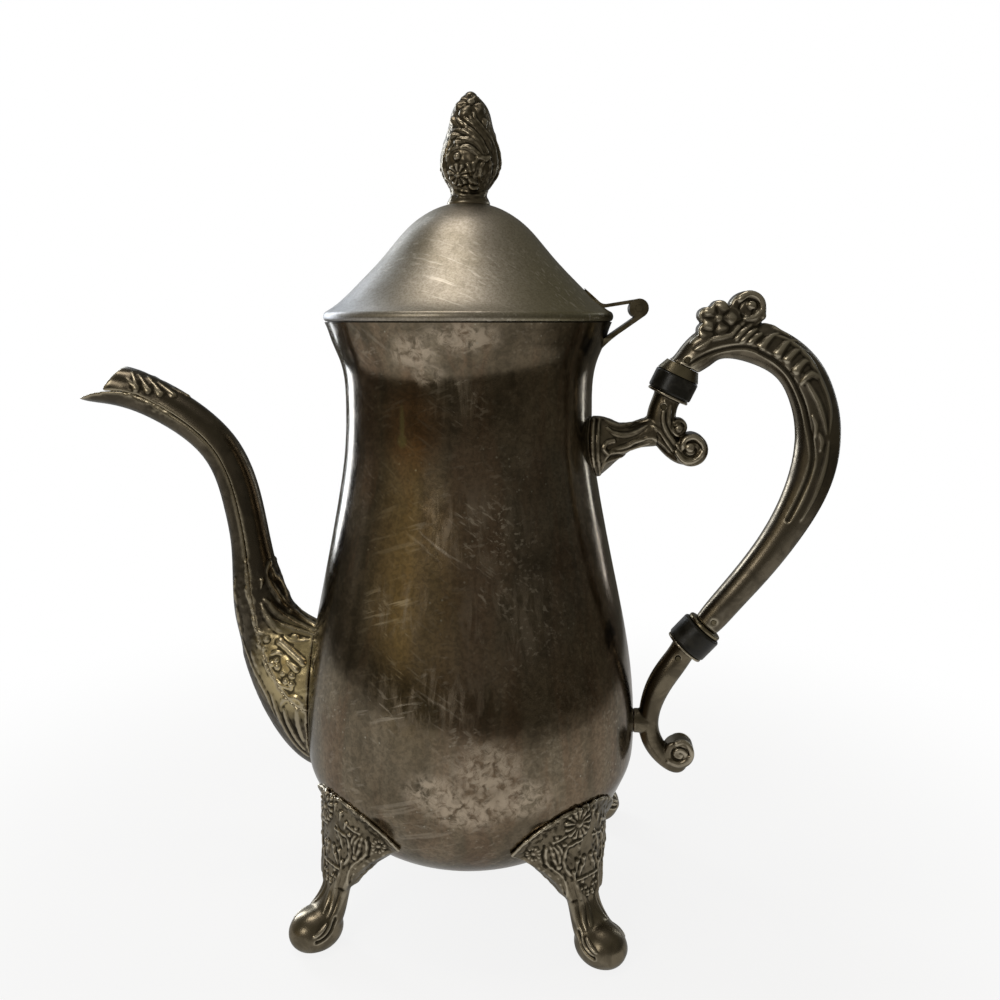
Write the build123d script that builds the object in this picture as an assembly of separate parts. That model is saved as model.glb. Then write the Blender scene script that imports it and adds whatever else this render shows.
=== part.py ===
from build123d import *
from math import cos, pi, radians, sin, sqrt
import os

os.makedirs("parts", exist_ok=True)

# Footed teapot with an S-shaped spout, a hinged lid and a scrolled handle on two insulators.
# Lengths are millimetres. Until the last step the pot's axis is the Z axis and the table is z = 0,
# with the spout towards -X and the handle towards +X.

# Joints between soldered pieces and between curved pieces that only just clear each other
solder_gap = 0.05

# Body: a bowl, a long side that narrows to a waist, and a flared mouth
body_base_height = 15.0
belly_radius = 59.3
belly_height = 61.5
waist_radius = 42.3
waist_height = 181.0
mouth_radius = 48.6
mouth_height = 206.0
body_wall = 1.2
bowl_fullness = 0.4
bowl_shares = (0.95, 0.8, 0.55, 0.3)
side_shares = (0.25, 0.5, 0.75)
flare_shape = ((0.25, 0.49), (0.67, 0.76))
flare_lean = 25.0

# Stiffening ring soldered inside the mouth
mouth_ring_wall = 1.0
mouth_ring_depth = 4.0

# Lid: rolled rim, flared cone and a flat seat for the finial
lid_seat_gap = 0.3
lid_rim_radius = 49.0
lid_rim_height = 3.0
lid_rim_width = 2.0
lid_rise = 34.9
lid_crown_radius = 7.6
lid_wall = 1.0
lid_curve = ((0.90, 0.077), (0.755, 0.232), (0.504, 0.533), (0.269, 0.831), (0.181, 0.905))
lid_shoulder = 0.7

# Collar under the lid that drops into the mouth
lid_collar_clearance = 1.5
lid_collar_wall = 1.0
lid_collar_depth = 5.0

# Finial, cast in one piece with the stud that passes through the lid
finial_height = 35.7
finial_foot_radius = 7.2
finial_neck_radius = 5.9
finial_neck_height = 4.4
finial_bulb_radius = 9.9
finial_bulb_height = 13.3
finial_shoulder_radius = 7.3
finial_shoulder_height = 25.0
finial_stud_radius = 1.6
finial_stud_length = 8.5
finial_stud_clearance = 0.2
finial_washer_radius = 4.2
finial_washer_thickness = 0.8
finial_nut_across_flats = 5.5
finial_nut_height = 2.6
finial_foot_rise = 0.8
finial_foot_lean = 120.0
finial_bulb_lean = 60.0
finial_tip_lean = 150.0

# Lid hinge
hinge_reach = 8.5
hinge_rise = 4.5
knuckle_count = 5
knuckle_length = 3.6
knuckle_gap = 0.3
knuckle_radius = 3.1
hinge_pin_radius = 1.2
hinge_pin_overhang = 0.3
hinge_running_clearance = 0.06
hinge_notch_clearance = 0.4
body_leaf_thickness = 1.5
body_leaf_slope = 35.0
body_leaf_length = 9.7
body_leaf_drop = 10.5
lid_leaf_thickness = 1.1
lid_leaf_slope = 9.0
lid_leaf_length = 11.5
lid_leaf_climb = 8.2
lid_leaf_climb_direction = 138.0
lid_leaf_bend = 3.0

# Spout: two cast halves soldered along a seam that follows the spout's centre line.
# Each station gives how far out from the belly, how far up from the spout's root,
# the direction the spout runs there in degrees, the depth of the section and its width.
spout_root_height = 70.0
spout_wall = 1.5
spout_stations = (
    (-8.0, -0.6, 180.0, 54.8, 33.4),
    (4.5, 3.6, 175.0, 51.6, 32.0),
    (10.3, 10.6, 166.0, 43.6, 27.0),
    (14.2, 17.7, 156.0, 35.2, 23.0),
    (17.1, 26.2, 143.0, 27.9, 19.0),
    (18.9, 34.7, 128.0, 22.2, 16.4),
    (20.2, 44.5, 111.0, 17.6, 14.6),
    (21.2, 57.0, 98.0, 14.4, 13.4),
    (23.2, 70.5, 99.0, 13.9, 13.2),
    (25.9, 81.5, 107.0, 13.7, 13.0),
    (30.6, 91.2, 124.0, 13.5, 13.0),
    (38.4, 99.4, 143.0, 13.5, 13.2),
    (48.2, 106.0, 152.0, 13.8, 13.6),
    (58.2, 111.0, 158.0, 14.4, 14.4),
    (68.6, 113.8, 170.0, 14.4, 15.4),
    (79.9, 113.4, 180.0, 10.6, 15.0),
)
spout_root_sections = 5
spout_lip_drop = 4.9
spout_lip_start = 71.0
spout_hood_top = 60.5
spout_hood_end = 69.3
spout_hood_lift = 12.0
spout_port_depth = 34.0
spout_port_width = 20.0

# Handle: a cast grip between two insulators. Its stations are reach from the belly, height,
# direction, depth and width.
handle_stations = (
    (19.6, 196.9, 48.0, 12.0, 11.6),
    (24.6, 199.6, 18.0, 12.0, 11.6),
    (31.2, 200.0, -4.0, 12.6, 12.0),
    (38.6, 198.6, -18.0, 13.6, 12.4),
    (45.6, 195.5, -33.0, 13.9, 12.8),
    (53.0, 188.4, -55.0, 14.4, 13.0),
    (57.9, 177.0, -75.0, 14.9, 13.0),
    (59.2, 165.0, -92.0, 15.0, 12.8),
    (57.5, 153.5, -105.0, 14.6, 12.4),
    (53.4, 142.3, -114.0, 13.3, 12.0),
    (46.7, 130.0, -121.0, 11.8, 11.2),
    (38.2, 117.8, -126.0, 10.9, 10.6),
    (31.2, 108.8, -129.0, 10.4, 10.2),
)
thumb_scroll_reach = 33.4
thumb_scroll_height = 209.9
thumb_scroll_radius = 6.2
thumb_scroll_width = 9.0
thumb_leaf_reach = 24.2
thumb_leaf_height = 205.8
thumb_leaf_radius = 7.4
thumb_leaf_width = 10.0
thumb_petal_count = 6
thumb_petal_radius = 2.5
thumb_petal_turn = 30.0

# Upper insulator and what holds it: centre, lean from the vertical, and sizes
upper_joint_reach = 10.4
upper_joint_height = 185.2
upper_joint_lean = 25.0
insulator_radius = 7.6
upper_insulator_height = 6.9
insulator_edge = 0.9
insulator_spigot_radius = 2.8
insulator_spigot_length = 8.0
spigot_clearance = 0.05
upper_ferrule_height = 3.5
upper_ferrule_radius = 7.4
handle_root_diameter = 11.6
bracket_ring_height = 1.0
bracket_ring_radius = 7.3
bracket_neck_diameter = 9.9
cross_pin_radius = 0.8
cross_pin_clearance = 0.02

# Lower insulator
lower_joint_reach = 20.7
lower_joint_height = 95.9
lower_joint_lean = 41.0
lower_insulator_height = 8.8
lower_bead_height = 1.6
lower_bead_radius = 6.65
handle_tail_diameter = 9.2
lower_neck_diameter = 9.4

# Upper bracket: an arm from the waist, a neck that rises to the insulator and a scroll below.
# Arm stations are the share of the way from the waist to the arm's end, height, depth and width.
upper_arm_end_reach = 5.0
upper_arm_stations = (
    (-0.14, 164.0, 21.6, 17.4),
    (0.14, 164.0, 20.6, 16.6),
    (0.34, 165.2, 15.4, 12.4),
    (0.53, 166.4, 10.4, 9.6),
    (0.76, 168.3, 9.6, 9.2),
    (1.0, 169.6, 11.0, 9.2),
)
upper_scroll_stations = (
    (7.0, 176.3, -103.0, 9.6, 9.4),
    (6.9, 171.0, -84.0, 9.6, 9.2),
    (9.3, 165.6, -55.0, 8.0, 8.6),
    (13.0, 162.1, -26.0, 7.4, 8.0),
    (17.0, 160.9, -5.0, 6.2, 7.6),
)
upper_volute_reach = 16.9
upper_volute_height = 163.3
upper_volute_radius = 5.7
upper_volute_width = 9.0
upper_curl_reach = 12.3
upper_curl_height = 170.9
upper_curl_radius = 3.1
upper_curl_width = 7.6

# Lower bracket: a curved stem that ends in a small volute, and a boss on the belly
lower_stem_stations = (
    (14.0, 86.1, -124.0, 9.2, 9.2),
    (9.7, 79.1, -118.0, 9.1, 9.0),
    (6.8, 71.9, -108.0, 8.2, 8.6),
    (5.6, 65.2, -92.0, 7.4, 8.4),
    (6.1, 58.8, -71.0, 7.3, 8.0),
    (8.9, 53.1, -50.0, 7.2, 7.6),
    (12.5, 49.2, -28.0, 6.9, 7.2),
    (15.6, 47.2, -6.0, 6.2, 6.8),
    (18.6, 48.2, 32.0, 4.2, 6.0),
)
lower_volute_reach = 16.6
lower_volute_height = 52.2
lower_volute_radius = 5.6
lower_volute_width = 7.4
lower_boss_radius = 4.4
lower_boss_height = 63.6

# Volutes have a rounded rim and a spiral groove on each face
volute_rim_round = 1.2
volute_groove_depth = 0.7
volute_groove_share = 0.16
volute_groove_outer = 0.72
volute_groove_inner = 0.2
volute_groove_turns = 1.3
volute_groove_points = 12

# Feet: four castings, each with an apron on the bowl, a leg and a rounded pad
foot_azimuths = (
    ("front_left", 225.0),
    ("front_right", 315.8),
    ("back_left", 135.0),
    ("back_right", 44.2),
)
apron_axis_inset = 21.0
apron_wall = 6.5
apron_top_height = 51.5
apron_top_half_width = 5.0
apron_corner_height = 35.6
apron_corner_half_width = 20.5
apron_scallop = 2.4
apron_profile = ((0.4, 51.5), (0.8, 44.0), (0.8, 35.0), (1.4, 27.0), (3.0, 19.0))
ankle_height = 20.0
ankle_half_width = 7.2
leg_stations = (
    (-3.2, 31.0, -82.0, 7.0, 19.0),
    (-2.0, 24.0, -79.0, 6.8, 15.4),
    (-0.4, 17.0, -74.0, 7.4, 12.8),
    (2.6, 11.0, -64.0, 10.2, 13.2),
    (7.2, 7.0, -42.0, 12.6, 14.8),
    (12.6, 5.2, -14.0, 10.8, 13.8),
    (15.6, 4.6, 0.0, 6.4, 9.0),
)
pad_reach = 7.7
pad_length = 19.0
pad_width = 15.6
pad_thickness = 15.0
pad_centre_height = 5.4

# Points round every oval section
section_points = 8


def at(x, z):
    return Vector(x, 0, z)


def heading(angle):
    return Vector(cos(radians(angle)), 0, sin(radians(angle)))


def closed_face(curves):
    edges = [edge for curve in curves for edge in curve.edges()]
    return Face(Wire(edges))


def oval(depth, width):
    # It starts in the pot's middle plane, so that lofts through it don't twist
    turns = [2 * pi * step / section_points for step in range(section_points)]
    points = [(width / 2 * sin(turn), depth / 2 * cos(turn)) for turn in turns]
    return closed_face([Spline(points, periodic=True)])


def section(x, z, direction, depth, width):
    plane = Plane(origin=at(x, z), x_dir=(0, 1, 0), z_dir=heading(direction))
    return plane * oval(depth, width)


def cross_cylinder(x, z, radius, start, length):
    # A cylinder along Y, from start to start + length
    plane = Plane(origin=(x, start, z), x_dir=(1, 0, 0), z_dir=(0, 1, 0))
    return extrude(plane * Circle(radius), length)


def centred_cross_cylinder(x, z, radius, length):
    return cross_cylinder(x, z, radius, -length / 2, length)


def side_plate(edges, width):
    # An outline in the pot's middle plane, thickened by the width, half to each side
    return extrude(closed_face(edges), width / 2, dir=(0, 1, 0), both=True)


def body_outline(inset):
    bottom = body_base_height + inset
    belly = belly_radius - inset
    waist = waist_radius - inset
    mouth = mouth_radius - inset
    bowl_depth = belly_height - bottom
    bowl_points = [at(0, bottom)]
    for share in bowl_shares:
        bowl_points.append(at(belly * (1 - share**2) ** bowl_fullness, belly_height - share * bowl_depth))
    bowl_points.append(at(belly, belly_height))
    side_points = [at(belly, belly_height)]
    for share in side_shares:
        radius = waist + (belly - waist) * (1 + cos(pi * share)) / 2
        side_points.append(at(radius, belly_height + share * (waist_height - belly_height)))
    side_points.append(at(waist, waist_height))
    flare_points = [at(waist, waist_height)]
    for out_share, up_share in flare_shape:
        height = waist_height + up_share * (mouth_height - waist_height)
        flare_points.append(at(waist + out_share * (mouth - waist), height))
    flare_points.append(at(mouth, mouth_height))
    bowl = Spline(bowl_points, tangents=[(1, 0, 0), (0, 0, 1)])
    side = Spline(side_points, tangents=[(0, 0, 1), (0, 0, 1)])
    flare = Spline(flare_points, tangents=[(0, 0, 1), heading(90 - flare_lean)])
    return [bowl, side, flare]


def body_solid(inset):
    top = at(mouth_radius - inset, mouth_height)
    axis_top = at(0, mouth_height)
    axis_bottom = at(0, body_base_height + inset)
    closing = [Line(top, axis_top), Line(axis_top, axis_bottom)]
    return revolve(closed_face(body_outline(inset) + closing), Axis.Z)


def body_shell():
    rim = Line(at(mouth_radius, mouth_height), at(mouth_radius - body_wall, mouth_height))
    floor = Line(at(0, body_base_height), at(0, body_base_height + body_wall))
    shell = revolve(closed_face(body_outline(0) + [rim] + body_outline(body_wall) + [floor]), Axis.Z)
    port_plane = Plane(origin=at(-belly_radius, spout_root_height), x_dir=(0, 1, 0), z_dir=(-1, 0, 0))
    port = extrude(port_plane * oval(spout_port_depth, spout_port_width), belly_radius / 3, both=True)
    return shell - port


def mouth_ring():
    outer = body_wall + solder_gap
    inner = outer + mouth_ring_wall
    band = body_solid(outer) - body_solid(inner)
    keep = turned(2 * mouth_radius, mouth_height - mouth_ring_depth, 2 * mouth_ring_depth)
    return band & keep


def lid_outline(drop, rim_inset):
    # The lid's outer or inner skin, from the rim's top to the crown's edge
    start_radius = lid_rim_radius - lid_shoulder - rim_inset
    rim_top = mouth_height + lid_seat_gap + lid_rim_height - drop
    points = [at(start_radius, rim_top)]
    for out_share, up_share in lid_curve:
        radius = lid_crown_radius + out_share * (start_radius - lid_crown_radius)
        points.append(at(radius, rim_top + up_share * lid_rise))
    points.append(at(lid_crown_radius, rim_top + lid_rise))
    return Spline(points)


def lid_rim_bottom():
    return mouth_height + lid_seat_gap


def lid_crown_height():
    return lid_rim_bottom() + lid_rim_height + lid_rise


def rim_roll():
    start = at(lid_rim_radius - lid_shoulder, lid_rim_bottom())
    middle = at(lid_rim_radius, lid_rim_bottom() + lid_rim_height / 2)
    end = at(lid_rim_radius - lid_shoulder, lid_rim_bottom() + lid_rim_height)
    return ThreePointArc(start, middle, end)


def lid_drop():
    # Straight down through the cone's slope, so that the wall measures lid_wall square to it
    return lid_wall * sqrt(2)


def lid_dome():
    hole = finial_stud_radius + finial_stud_clearance
    top = lid_crown_height()
    outer = lid_outline(0, 0)
    inner = lid_outline(lid_drop(), lid_rim_width - lid_shoulder)
    inner_start = inner @ 0
    edges = [
        rim_roll(),
        outer,
        Line(outer @ 1, at(hole, top)),
        Line(at(hole, top), at(hole, top - lid_drop())),
        Line(at(hole, top - lid_drop()), inner @ 1),
        inner,
        Line(inner_start, at(inner_start.X, lid_rim_bottom())),
        Line(at(inner_start.X, lid_rim_bottom()), rim_roll() @ 0),
    ]
    return revolve(closed_face(edges), Axis.Z)


def lid_solid():
    # The space the lid fills, with a solder gap over it, to trim what is soldered on
    outer = lid_outline(-solder_gap, 0)
    bottom = at(0, lid_rim_bottom())
    edges = [
        Line(bottom, at(lid_rim_radius - lid_shoulder, lid_rim_bottom())),
        Line(at(lid_rim_radius - lid_shoulder, lid_rim_bottom()), outer @ 0),
        outer,
        Line(outer @ 1, at(0, (outer @ 1).Z)),
        Line(at(0, (outer @ 1).Z), bottom),
    ]
    return revolve(closed_face(edges), Axis.Z)


def flare_radius(height):
    # The body's outer radius at a height in the flare, read between its points, or at the waist
    up = (height - waist_height) / (mouth_height - waist_height)
    marks = [(0.0, 0.0)] + list(flare_shape) + [(1.0, 1.0)]
    out = 0.0
    for (low_out, low_up), (high_out, high_up) in zip(marks, marks[1:]):
        if low_up < up <= high_up:
            out = low_out + (high_out - low_out) * (up - low_up) / (high_up - low_up)
    return waist_radius + out * (mouth_radius - waist_radius)


def lid_collar():
    rim_inside = lid_rim_radius - lid_rim_width - solder_gap
    seat = lid_rim_bottom()
    bottom = seat - lid_collar_depth
    throat = flare_radius(bottom) - body_wall - solder_gap - mouth_ring_wall
    outside = throat - lid_collar_clearance
    inside = outside - lid_collar_wall
    flange_top = seat + lid_collar_wall
    corners = [
        at(inside, bottom),
        at(outside, bottom),
        at(outside, seat),
        at(rim_inside, seat),
        at(rim_inside, flange_top),
        at(inside, flange_top),
    ]
    return revolve(closed_face([Polyline(corners, close=True)]), Axis.Z)


def finial_profile():
    base = lid_crown_height() + solder_gap
    neck = at(finial_neck_radius, base + finial_neck_height)
    foot = Spline(
        [at(finial_foot_radius, base + finial_foot_rise), neck],
        tangents=[heading(finial_foot_lean), (0, 0, 1)],
    )
    bulb = at(finial_bulb_radius, base + finial_bulb_height)
    shoulder = at(finial_shoulder_radius, base + finial_shoulder_height)
    tip = at(0, base + finial_height)
    leans = [heading(finial_bulb_lean), heading(finial_tip_lean)]
    body = Spline([neck, bulb, shoulder, tip], tangents=leans)
    stud_bottom = base - finial_stud_length
    return [
        Line(at(finial_foot_radius, base), at(finial_foot_radius, base + finial_foot_rise)),
        foot,
        body,
        Line(tip, at(0, stud_bottom)),
        Line(at(0, stud_bottom), at(finial_stud_radius, stud_bottom)),
        Line(at(finial_stud_radius, stud_bottom), at(finial_stud_radius, base)),
        Line(at(finial_stud_radius, base), at(finial_foot_radius, base)),
    ]


def finial():
    return revolve(closed_face(finial_profile()), Axis.Z)


def under_lid_height():
    return lid_crown_height() - lid_drop() - solder_gap


def finial_washer():
    ring = Circle(finial_washer_radius) - Circle(finial_stud_radius + finial_stud_clearance)
    return extrude(Pos(0, 0, under_lid_height()) * ring, -finial_washer_thickness)


def finial_nut():
    top = under_lid_height() - finial_washer_thickness - solder_gap
    corner_radius = finial_nut_across_flats / sqrt(3)
    flats = RegularPolygon(corner_radius, 6) - Circle(finial_stud_radius + solder_gap)
    return extrude(Pos(0, 0, top) * flats, -finial_nut_height)


def hinge_x():
    return mouth_radius + hinge_reach


def hinge_z():
    return mouth_height + hinge_rise


def hinge_width():
    return knuckle_count * knuckle_length + (knuckle_count - 1) * knuckle_gap


def knuckle_start(index):
    return -hinge_width() / 2 + index * (knuckle_length + knuckle_gap)


def knuckles(indexes, radius, extra):
    barrels = []
    for index in indexes:
        start = knuckle_start(index) - extra
        barrels.append(cross_cylinder(hinge_x(), hinge_z(), radius, start, knuckle_length + 2 * extra))
    return barrels


def body_knuckles():
    return range(0, knuckle_count, 2)


def lid_knuckles():
    return range(1, knuckle_count, 2)


def finished_leaf(strap, own, other, bore_clearance):
    notches = knuckles(other, knuckle_radius + hinge_notch_clearance, knuckle_gap)
    bore = centred_cross_cylinder(hinge_x(), hinge_z(), hinge_pin_radius + bore_clearance, 2 * hinge_width())
    return strap - notches + knuckles(own, knuckle_radius, 0) - bore


def hinge_body_leaf():
    away = heading(180 + body_leaf_slope)
    outward = heading(body_leaf_slope - 90)
    centre = at(hinge_x(), hinge_z())
    outer_start = centre + outward * knuckle_radius
    inner_start = centre + outward * (knuckle_radius - body_leaf_thickness)
    outer_bend = outer_start + away * body_leaf_length
    toe = at(waist_radius + body_leaf_thickness, mouth_height - body_leaf_drop)
    inside_toe = at(waist_radius - body_leaf_thickness, toe.Z)
    inner_end = inner_start + away * 2 * body_leaf_length
    edges = [
        Line(inner_start, outer_start),
        Line(outer_start, outer_bend),
        TangentArc(outer_bend, toe, tangent=away),
        Line(toe, inside_toe),
        Line(inside_toe, at(inside_toe.X, inner_end.Z)),
        Line(at(inside_toe.X, inner_end.Z), inner_end),
        Line(inner_end, inner_start),
    ]
    strap = side_plate(edges, hinge_width())
    half = hinge_width() / 2
    top = hinge_z() + knuckle_radius
    shoulder = mouth_height - body_leaf_drop / 2
    tongue = closed_face(
        [
            Line((0, -half, top), (0, -half, shoulder)),
            ThreePointArc((0, -half, shoulder), (0, 0, toe.Z), (0, half, shoulder)),
            Line((0, half, shoulder), (0, half, top)),
            Line((0, half, top), (0, -half, top)),
        ]
    )
    strap = strap & extrude(tongue, 2 * hinge_x(), dir=(1, 0, 0))
    strap = strap - body_solid(-solder_gap)
    return finished_leaf(strap, body_knuckles(), lid_knuckles(), solder_gap)


def hinge_lid_leaf():
    away = heading(180 + lid_leaf_slope)
    upward = heading(90 + lid_leaf_slope)
    centre = at(hinge_x(), hinge_z())
    top_start = centre + upward * knuckle_radius
    under_start = centre + upward * (knuckle_radius - lid_leaf_thickness)
    bend = top_start + away * lid_leaf_length
    slope = heading(lid_leaf_climb_direction)
    tip = bend + slope * lid_leaf_climb
    skin = FilletPolyline([top_start, bend, tip], radius=lid_leaf_bend)
    buried = tip + heading(lid_leaf_climb_direction + 90) * 3 * lid_leaf_thickness
    under_end = under_start + away * (lid_leaf_length + lid_leaf_thickness)
    edges = [
        skin,
        Line(tip, buried),
        Line(buried, under_end),
        Line(under_end, under_start),
        Line(under_start, top_start),
    ]
    width = (knuckle_count - 2) * knuckle_length + (knuckle_count - 3) * knuckle_gap
    strap = side_plate(edges, width)
    half = width / 2
    tongue = closed_face(
        [
            Line((hinge_x(), -half, 0), (bend.X, -half, 0)),
            ThreePointArc((bend.X, -half, 0), (tip.X, 0, 0), (bend.X, half, 0)),
            Line((bend.X, half, 0), (hinge_x(), half, 0)),
            Line((hinge_x(), half, 0), (hinge_x(), -half, 0)),
        ]
    )
    strap = strap & extrude(tongue, 2 * hinge_z(), dir=(0, 0, 1))
    strap = strap - lid_solid()
    return finished_leaf(strap, lid_knuckles(), body_knuckles(), hinge_running_clearance)


def hinge_pin():
    length = hinge_width() + 2 * hinge_pin_overhang
    return centred_cross_cylinder(hinge_x(), hinge_z(), hinge_pin_radius, length)


def spout_place(station):
    out, up, direction, depth, width = station
    return -belly_radius - out, spout_root_height + up, direction, depth, width


def spout_tube(inset):
    # The broad root and the slender tube are two lofts that share one section
    faces = []
    for station in spout_stations:
        x, z, direction, depth, width = spout_place(station)
        faces.append(section(x, z, direction, depth - 2 * inset, width - 2 * inset))
    return loft(faces[:spout_root_sections]) + loft(faces[spout_root_sections - 1 :])


def spout_wall_solid():
    bore = spout_tube(spout_wall)
    first = spout_place(spout_stations[0])
    last = spout_place(spout_stations[-1])
    lip_bore = section(last[0], last[1], last[2], last[3] - 2 * spout_wall, last[4] - 2 * spout_wall)
    lip_clearance = extrude(lip_bore, spout_wall, dir=(-1, 0, 0))
    root_bore = section(first[0], first[1], first[2], first[3] - 2 * spout_wall, first[4] - 2 * spout_wall)
    root_clearance = extrude(root_bore, spout_wall, dir=(1, 0, 0))
    return spout_tube(0) - bore - lip_clearance - root_clearance


def seam_curve():
    points = []
    for station in spout_stations:
        x, z = spout_place(station)[:2]
        if -x - belly_radius < spout_hood_top:
            points.append(at(x, z))
    lip = spout_place(spout_stations[-1])
    points.append(at(-belly_radius - spout_lip_start, lip[1] - spout_wall))
    points.append(at(lip[0] - spout_wall, lip[1] - spout_lip_drop))
    return Spline(points)


def seam_region(above):
    seam = seam_curve()
    start = seam @ 0
    end = seam @ 1
    far_height = 2 * mouth_height if above else -mouth_height
    far_x = 2 * end.X
    corners = [end, at(far_x, end.Z), at(far_x, far_height), at(0, far_height), at(0, start.Z), start]
    if above:
        corners = [end, at(end.X, far_height), at(0, far_height), at(0, start.Z), start]
    return side_plate([seam, Polyline(corners)], 2 * belly_radius)


def spout_upper_half():
    half = spout_wall_solid() & Pos(solder_gap, 0, solder_gap) * seam_region(True)
    lip = spout_place(spout_stations[-1])
    top = at(-belly_radius - spout_hood_top, lip[1] + spout_hood_lift)
    end = at(-belly_radius - spout_hood_end, lip[1])
    under = at(end.X, lip[1] - spout_hood_lift)
    far_x = 2 * end.X
    corners = [top, end, under, at(far_x, under.Z), at(far_x, top.Z)]
    hood_cut = side_plate([Polyline(corners, close=True)], belly_radius)
    return half - hood_cut - body_solid(-solder_gap)


def spout_lower_half():
    return spout_wall_solid() & seam_region(False) - body_solid(-solder_gap)


def joint_plane(reach, height, lean):
    # Z runs from the bracket to the handle through the insulator's centre
    return Plane(origin=at(belly_radius + reach, height), x_dir=(0, 1, 0), z_dir=heading(90 - lean))


def upper_plane():
    return joint_plane(upper_joint_reach, upper_joint_height, upper_joint_lean)


def lower_plane():
    return joint_plane(lower_joint_reach, lower_joint_height, lower_joint_lean)


def turned(radius, start, length):
    return Pos(0, 0, start) * Cylinder(radius, length, align=(Align.CENTER, Align.CENTER, Align.MIN))


def insulator(plane, height, pin_offsets):
    disc = Cylinder(insulator_radius, height)
    disc = fillet(disc.edges().filter_by(GeomType.CIRCLE), insulator_edge)
    spigot = Cylinder(insulator_spigot_radius, height + 2 * insulator_spigot_length)
    return plane.location * (disc + spigot) - [pin_hole(plane, offset) for offset in pin_offsets]


def pin_place(plane, offset):
    centre = plane.origin + plane.z_dir * offset
    return centre.X, centre.Z


def pin_hole(plane, offset):
    x, z = pin_place(plane, offset)
    return centred_cross_cylinder(x, z, cross_pin_radius + cross_pin_clearance, 4 * insulator_radius)


def socket(plane, start, direction):
    # The bore that takes a spigot, from the insulator's face
    length = insulator_spigot_length + spigot_clearance
    low = start if direction > 0 else start - length
    return plane.location * turned(insulator_spigot_radius + spigot_clearance, low, length)


def upper_pin_offsets():
    half = upper_insulator_height / 2
    above = half + upper_ferrule_height + (insulator_spigot_length - upper_ferrule_height) / 2
    below = half + bracket_ring_height + (insulator_spigot_length - bracket_ring_height) / 2
    return above, -below


def lower_pin_offsets():
    half = lower_insulator_height / 2
    above = half + lower_bead_height + (insulator_spigot_length - lower_bead_height) / 2
    below = half + bracket_ring_height + (insulator_spigot_length - bracket_ring_height) / 2
    return above, -below


def upper_insulator():
    return insulator(upper_plane(), upper_insulator_height, upper_pin_offsets())


def lower_insulator():
    return insulator(lower_plane(), lower_insulator_height, lower_pin_offsets())


def upper_ferrule():
    start = upper_insulator_height / 2 + solder_gap
    seat = (Align.CENTER, Align.CENTER, Align.MIN)
    cone = Cone(upper_ferrule_radius, handle_root_diameter / 2, upper_ferrule_height, align=seat)
    bore = turned(insulator_spigot_radius + spigot_clearance, 0, upper_ferrule_height)
    return upper_plane().location * Pos(0, 0, start) * (cone - bore)


def lower_bead():
    start = lower_insulator_height / 2 + solder_gap
    ring = turned(lower_bead_radius, 0, lower_bead_height)
    ring = fillet(ring.edges().filter_by(GeomType.CIRCLE), lower_bead_height / 2.5)
    bore = turned(insulator_spigot_radius + spigot_clearance, 0, lower_bead_height)
    return lower_plane().location * Pos(0, 0, start) * (ring - bore)


def cross_pins():
    # Each pin is as long as the metal is wide where it passes through
    spans = (
        (upper_plane(), upper_pin_offsets(), (handle_root_diameter, bracket_neck_diameter)),
        (lower_plane(), lower_pin_offsets(), (handle_tail_diameter, lower_neck_diameter)),
    )
    pins = []
    for plane, offsets, widths in spans:
        for offset, width in zip(offsets, widths):
            x, z = pin_place(plane, offset)
            pins.append(centred_cross_cylinder(x, z, cross_pin_radius, width))
    return pins[0] + pins[1:]


def spiral_groove(x, z, radius, face_y, side):
    band = volute_groove_share * radius
    outer = []
    inner = []
    for step in range(volute_groove_points + 1):
        share = step / volute_groove_points
        turn = 360 * volute_groove_turns * share
        reach = radius * (volute_groove_outer + (volute_groove_inner - volute_groove_outer) * share)
        outer.append(at(x, z) + heading(turn) * reach)
        inner.append(at(x, z) + heading(turn) * (reach - band * (1 - share / 2)))
    face = closed_face([Spline(outer), Line(outer[-1], inner[-1]), Spline(inner), Line(inner[0], outer[0])])
    cut = extrude(face, volute_groove_depth, dir=(0, -side, 0))
    return Pos(0, face_y, 0) * cut


def volute(x, z, radius, width):
    disc = centred_cross_cylinder(x, z, radius, width)
    disc = fillet(disc.edges().filter_by(GeomType.CIRCLE), volute_rim_round)
    grooves = [spiral_groove(x, z, radius, side * width / 2, side) for side in (-1, 1)]
    return disc - grooves


def handle_faces():
    upper = upper_plane()
    start = upper.origin + upper.z_dir * (upper_insulator_height / 2 + upper_ferrule_height + 2 * solder_gap)
    lower = lower_plane()
    end = lower.origin + lower.z_dir * (lower_insulator_height / 2 + lower_bead_height + 2 * solder_gap)
    faces = [section(start.X, start.Z, 90 - upper_joint_lean, handle_root_diameter, handle_root_diameter)]
    for reach, height, direction, depth, width in handle_stations:
        faces.append(section(belly_radius + reach, height, direction, depth, width))
    faces.append(section(end.X, end.Z, -90 - lower_joint_lean, handle_tail_diameter, handle_tail_diameter))
    return faces


def handle_grip():
    grip = loft(handle_faces())
    scroll_x = belly_radius + thumb_scroll_reach
    scroll = volute(scroll_x, thumb_scroll_height, thumb_scroll_radius, thumb_scroll_width)
    grip = grip + scroll + thumb_rosette()
    upper_socket = socket(upper_plane(), upper_insulator_height / 2, 1)
    lower_socket = socket(lower_plane(), lower_insulator_height / 2, 1)
    upper_hole = pin_hole(upper_plane(), upper_pin_offsets()[0])
    lower_hole = pin_hole(lower_plane(), lower_pin_offsets()[0])
    return grip - [upper_socket, lower_socket, upper_hole, lower_hole]


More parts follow.
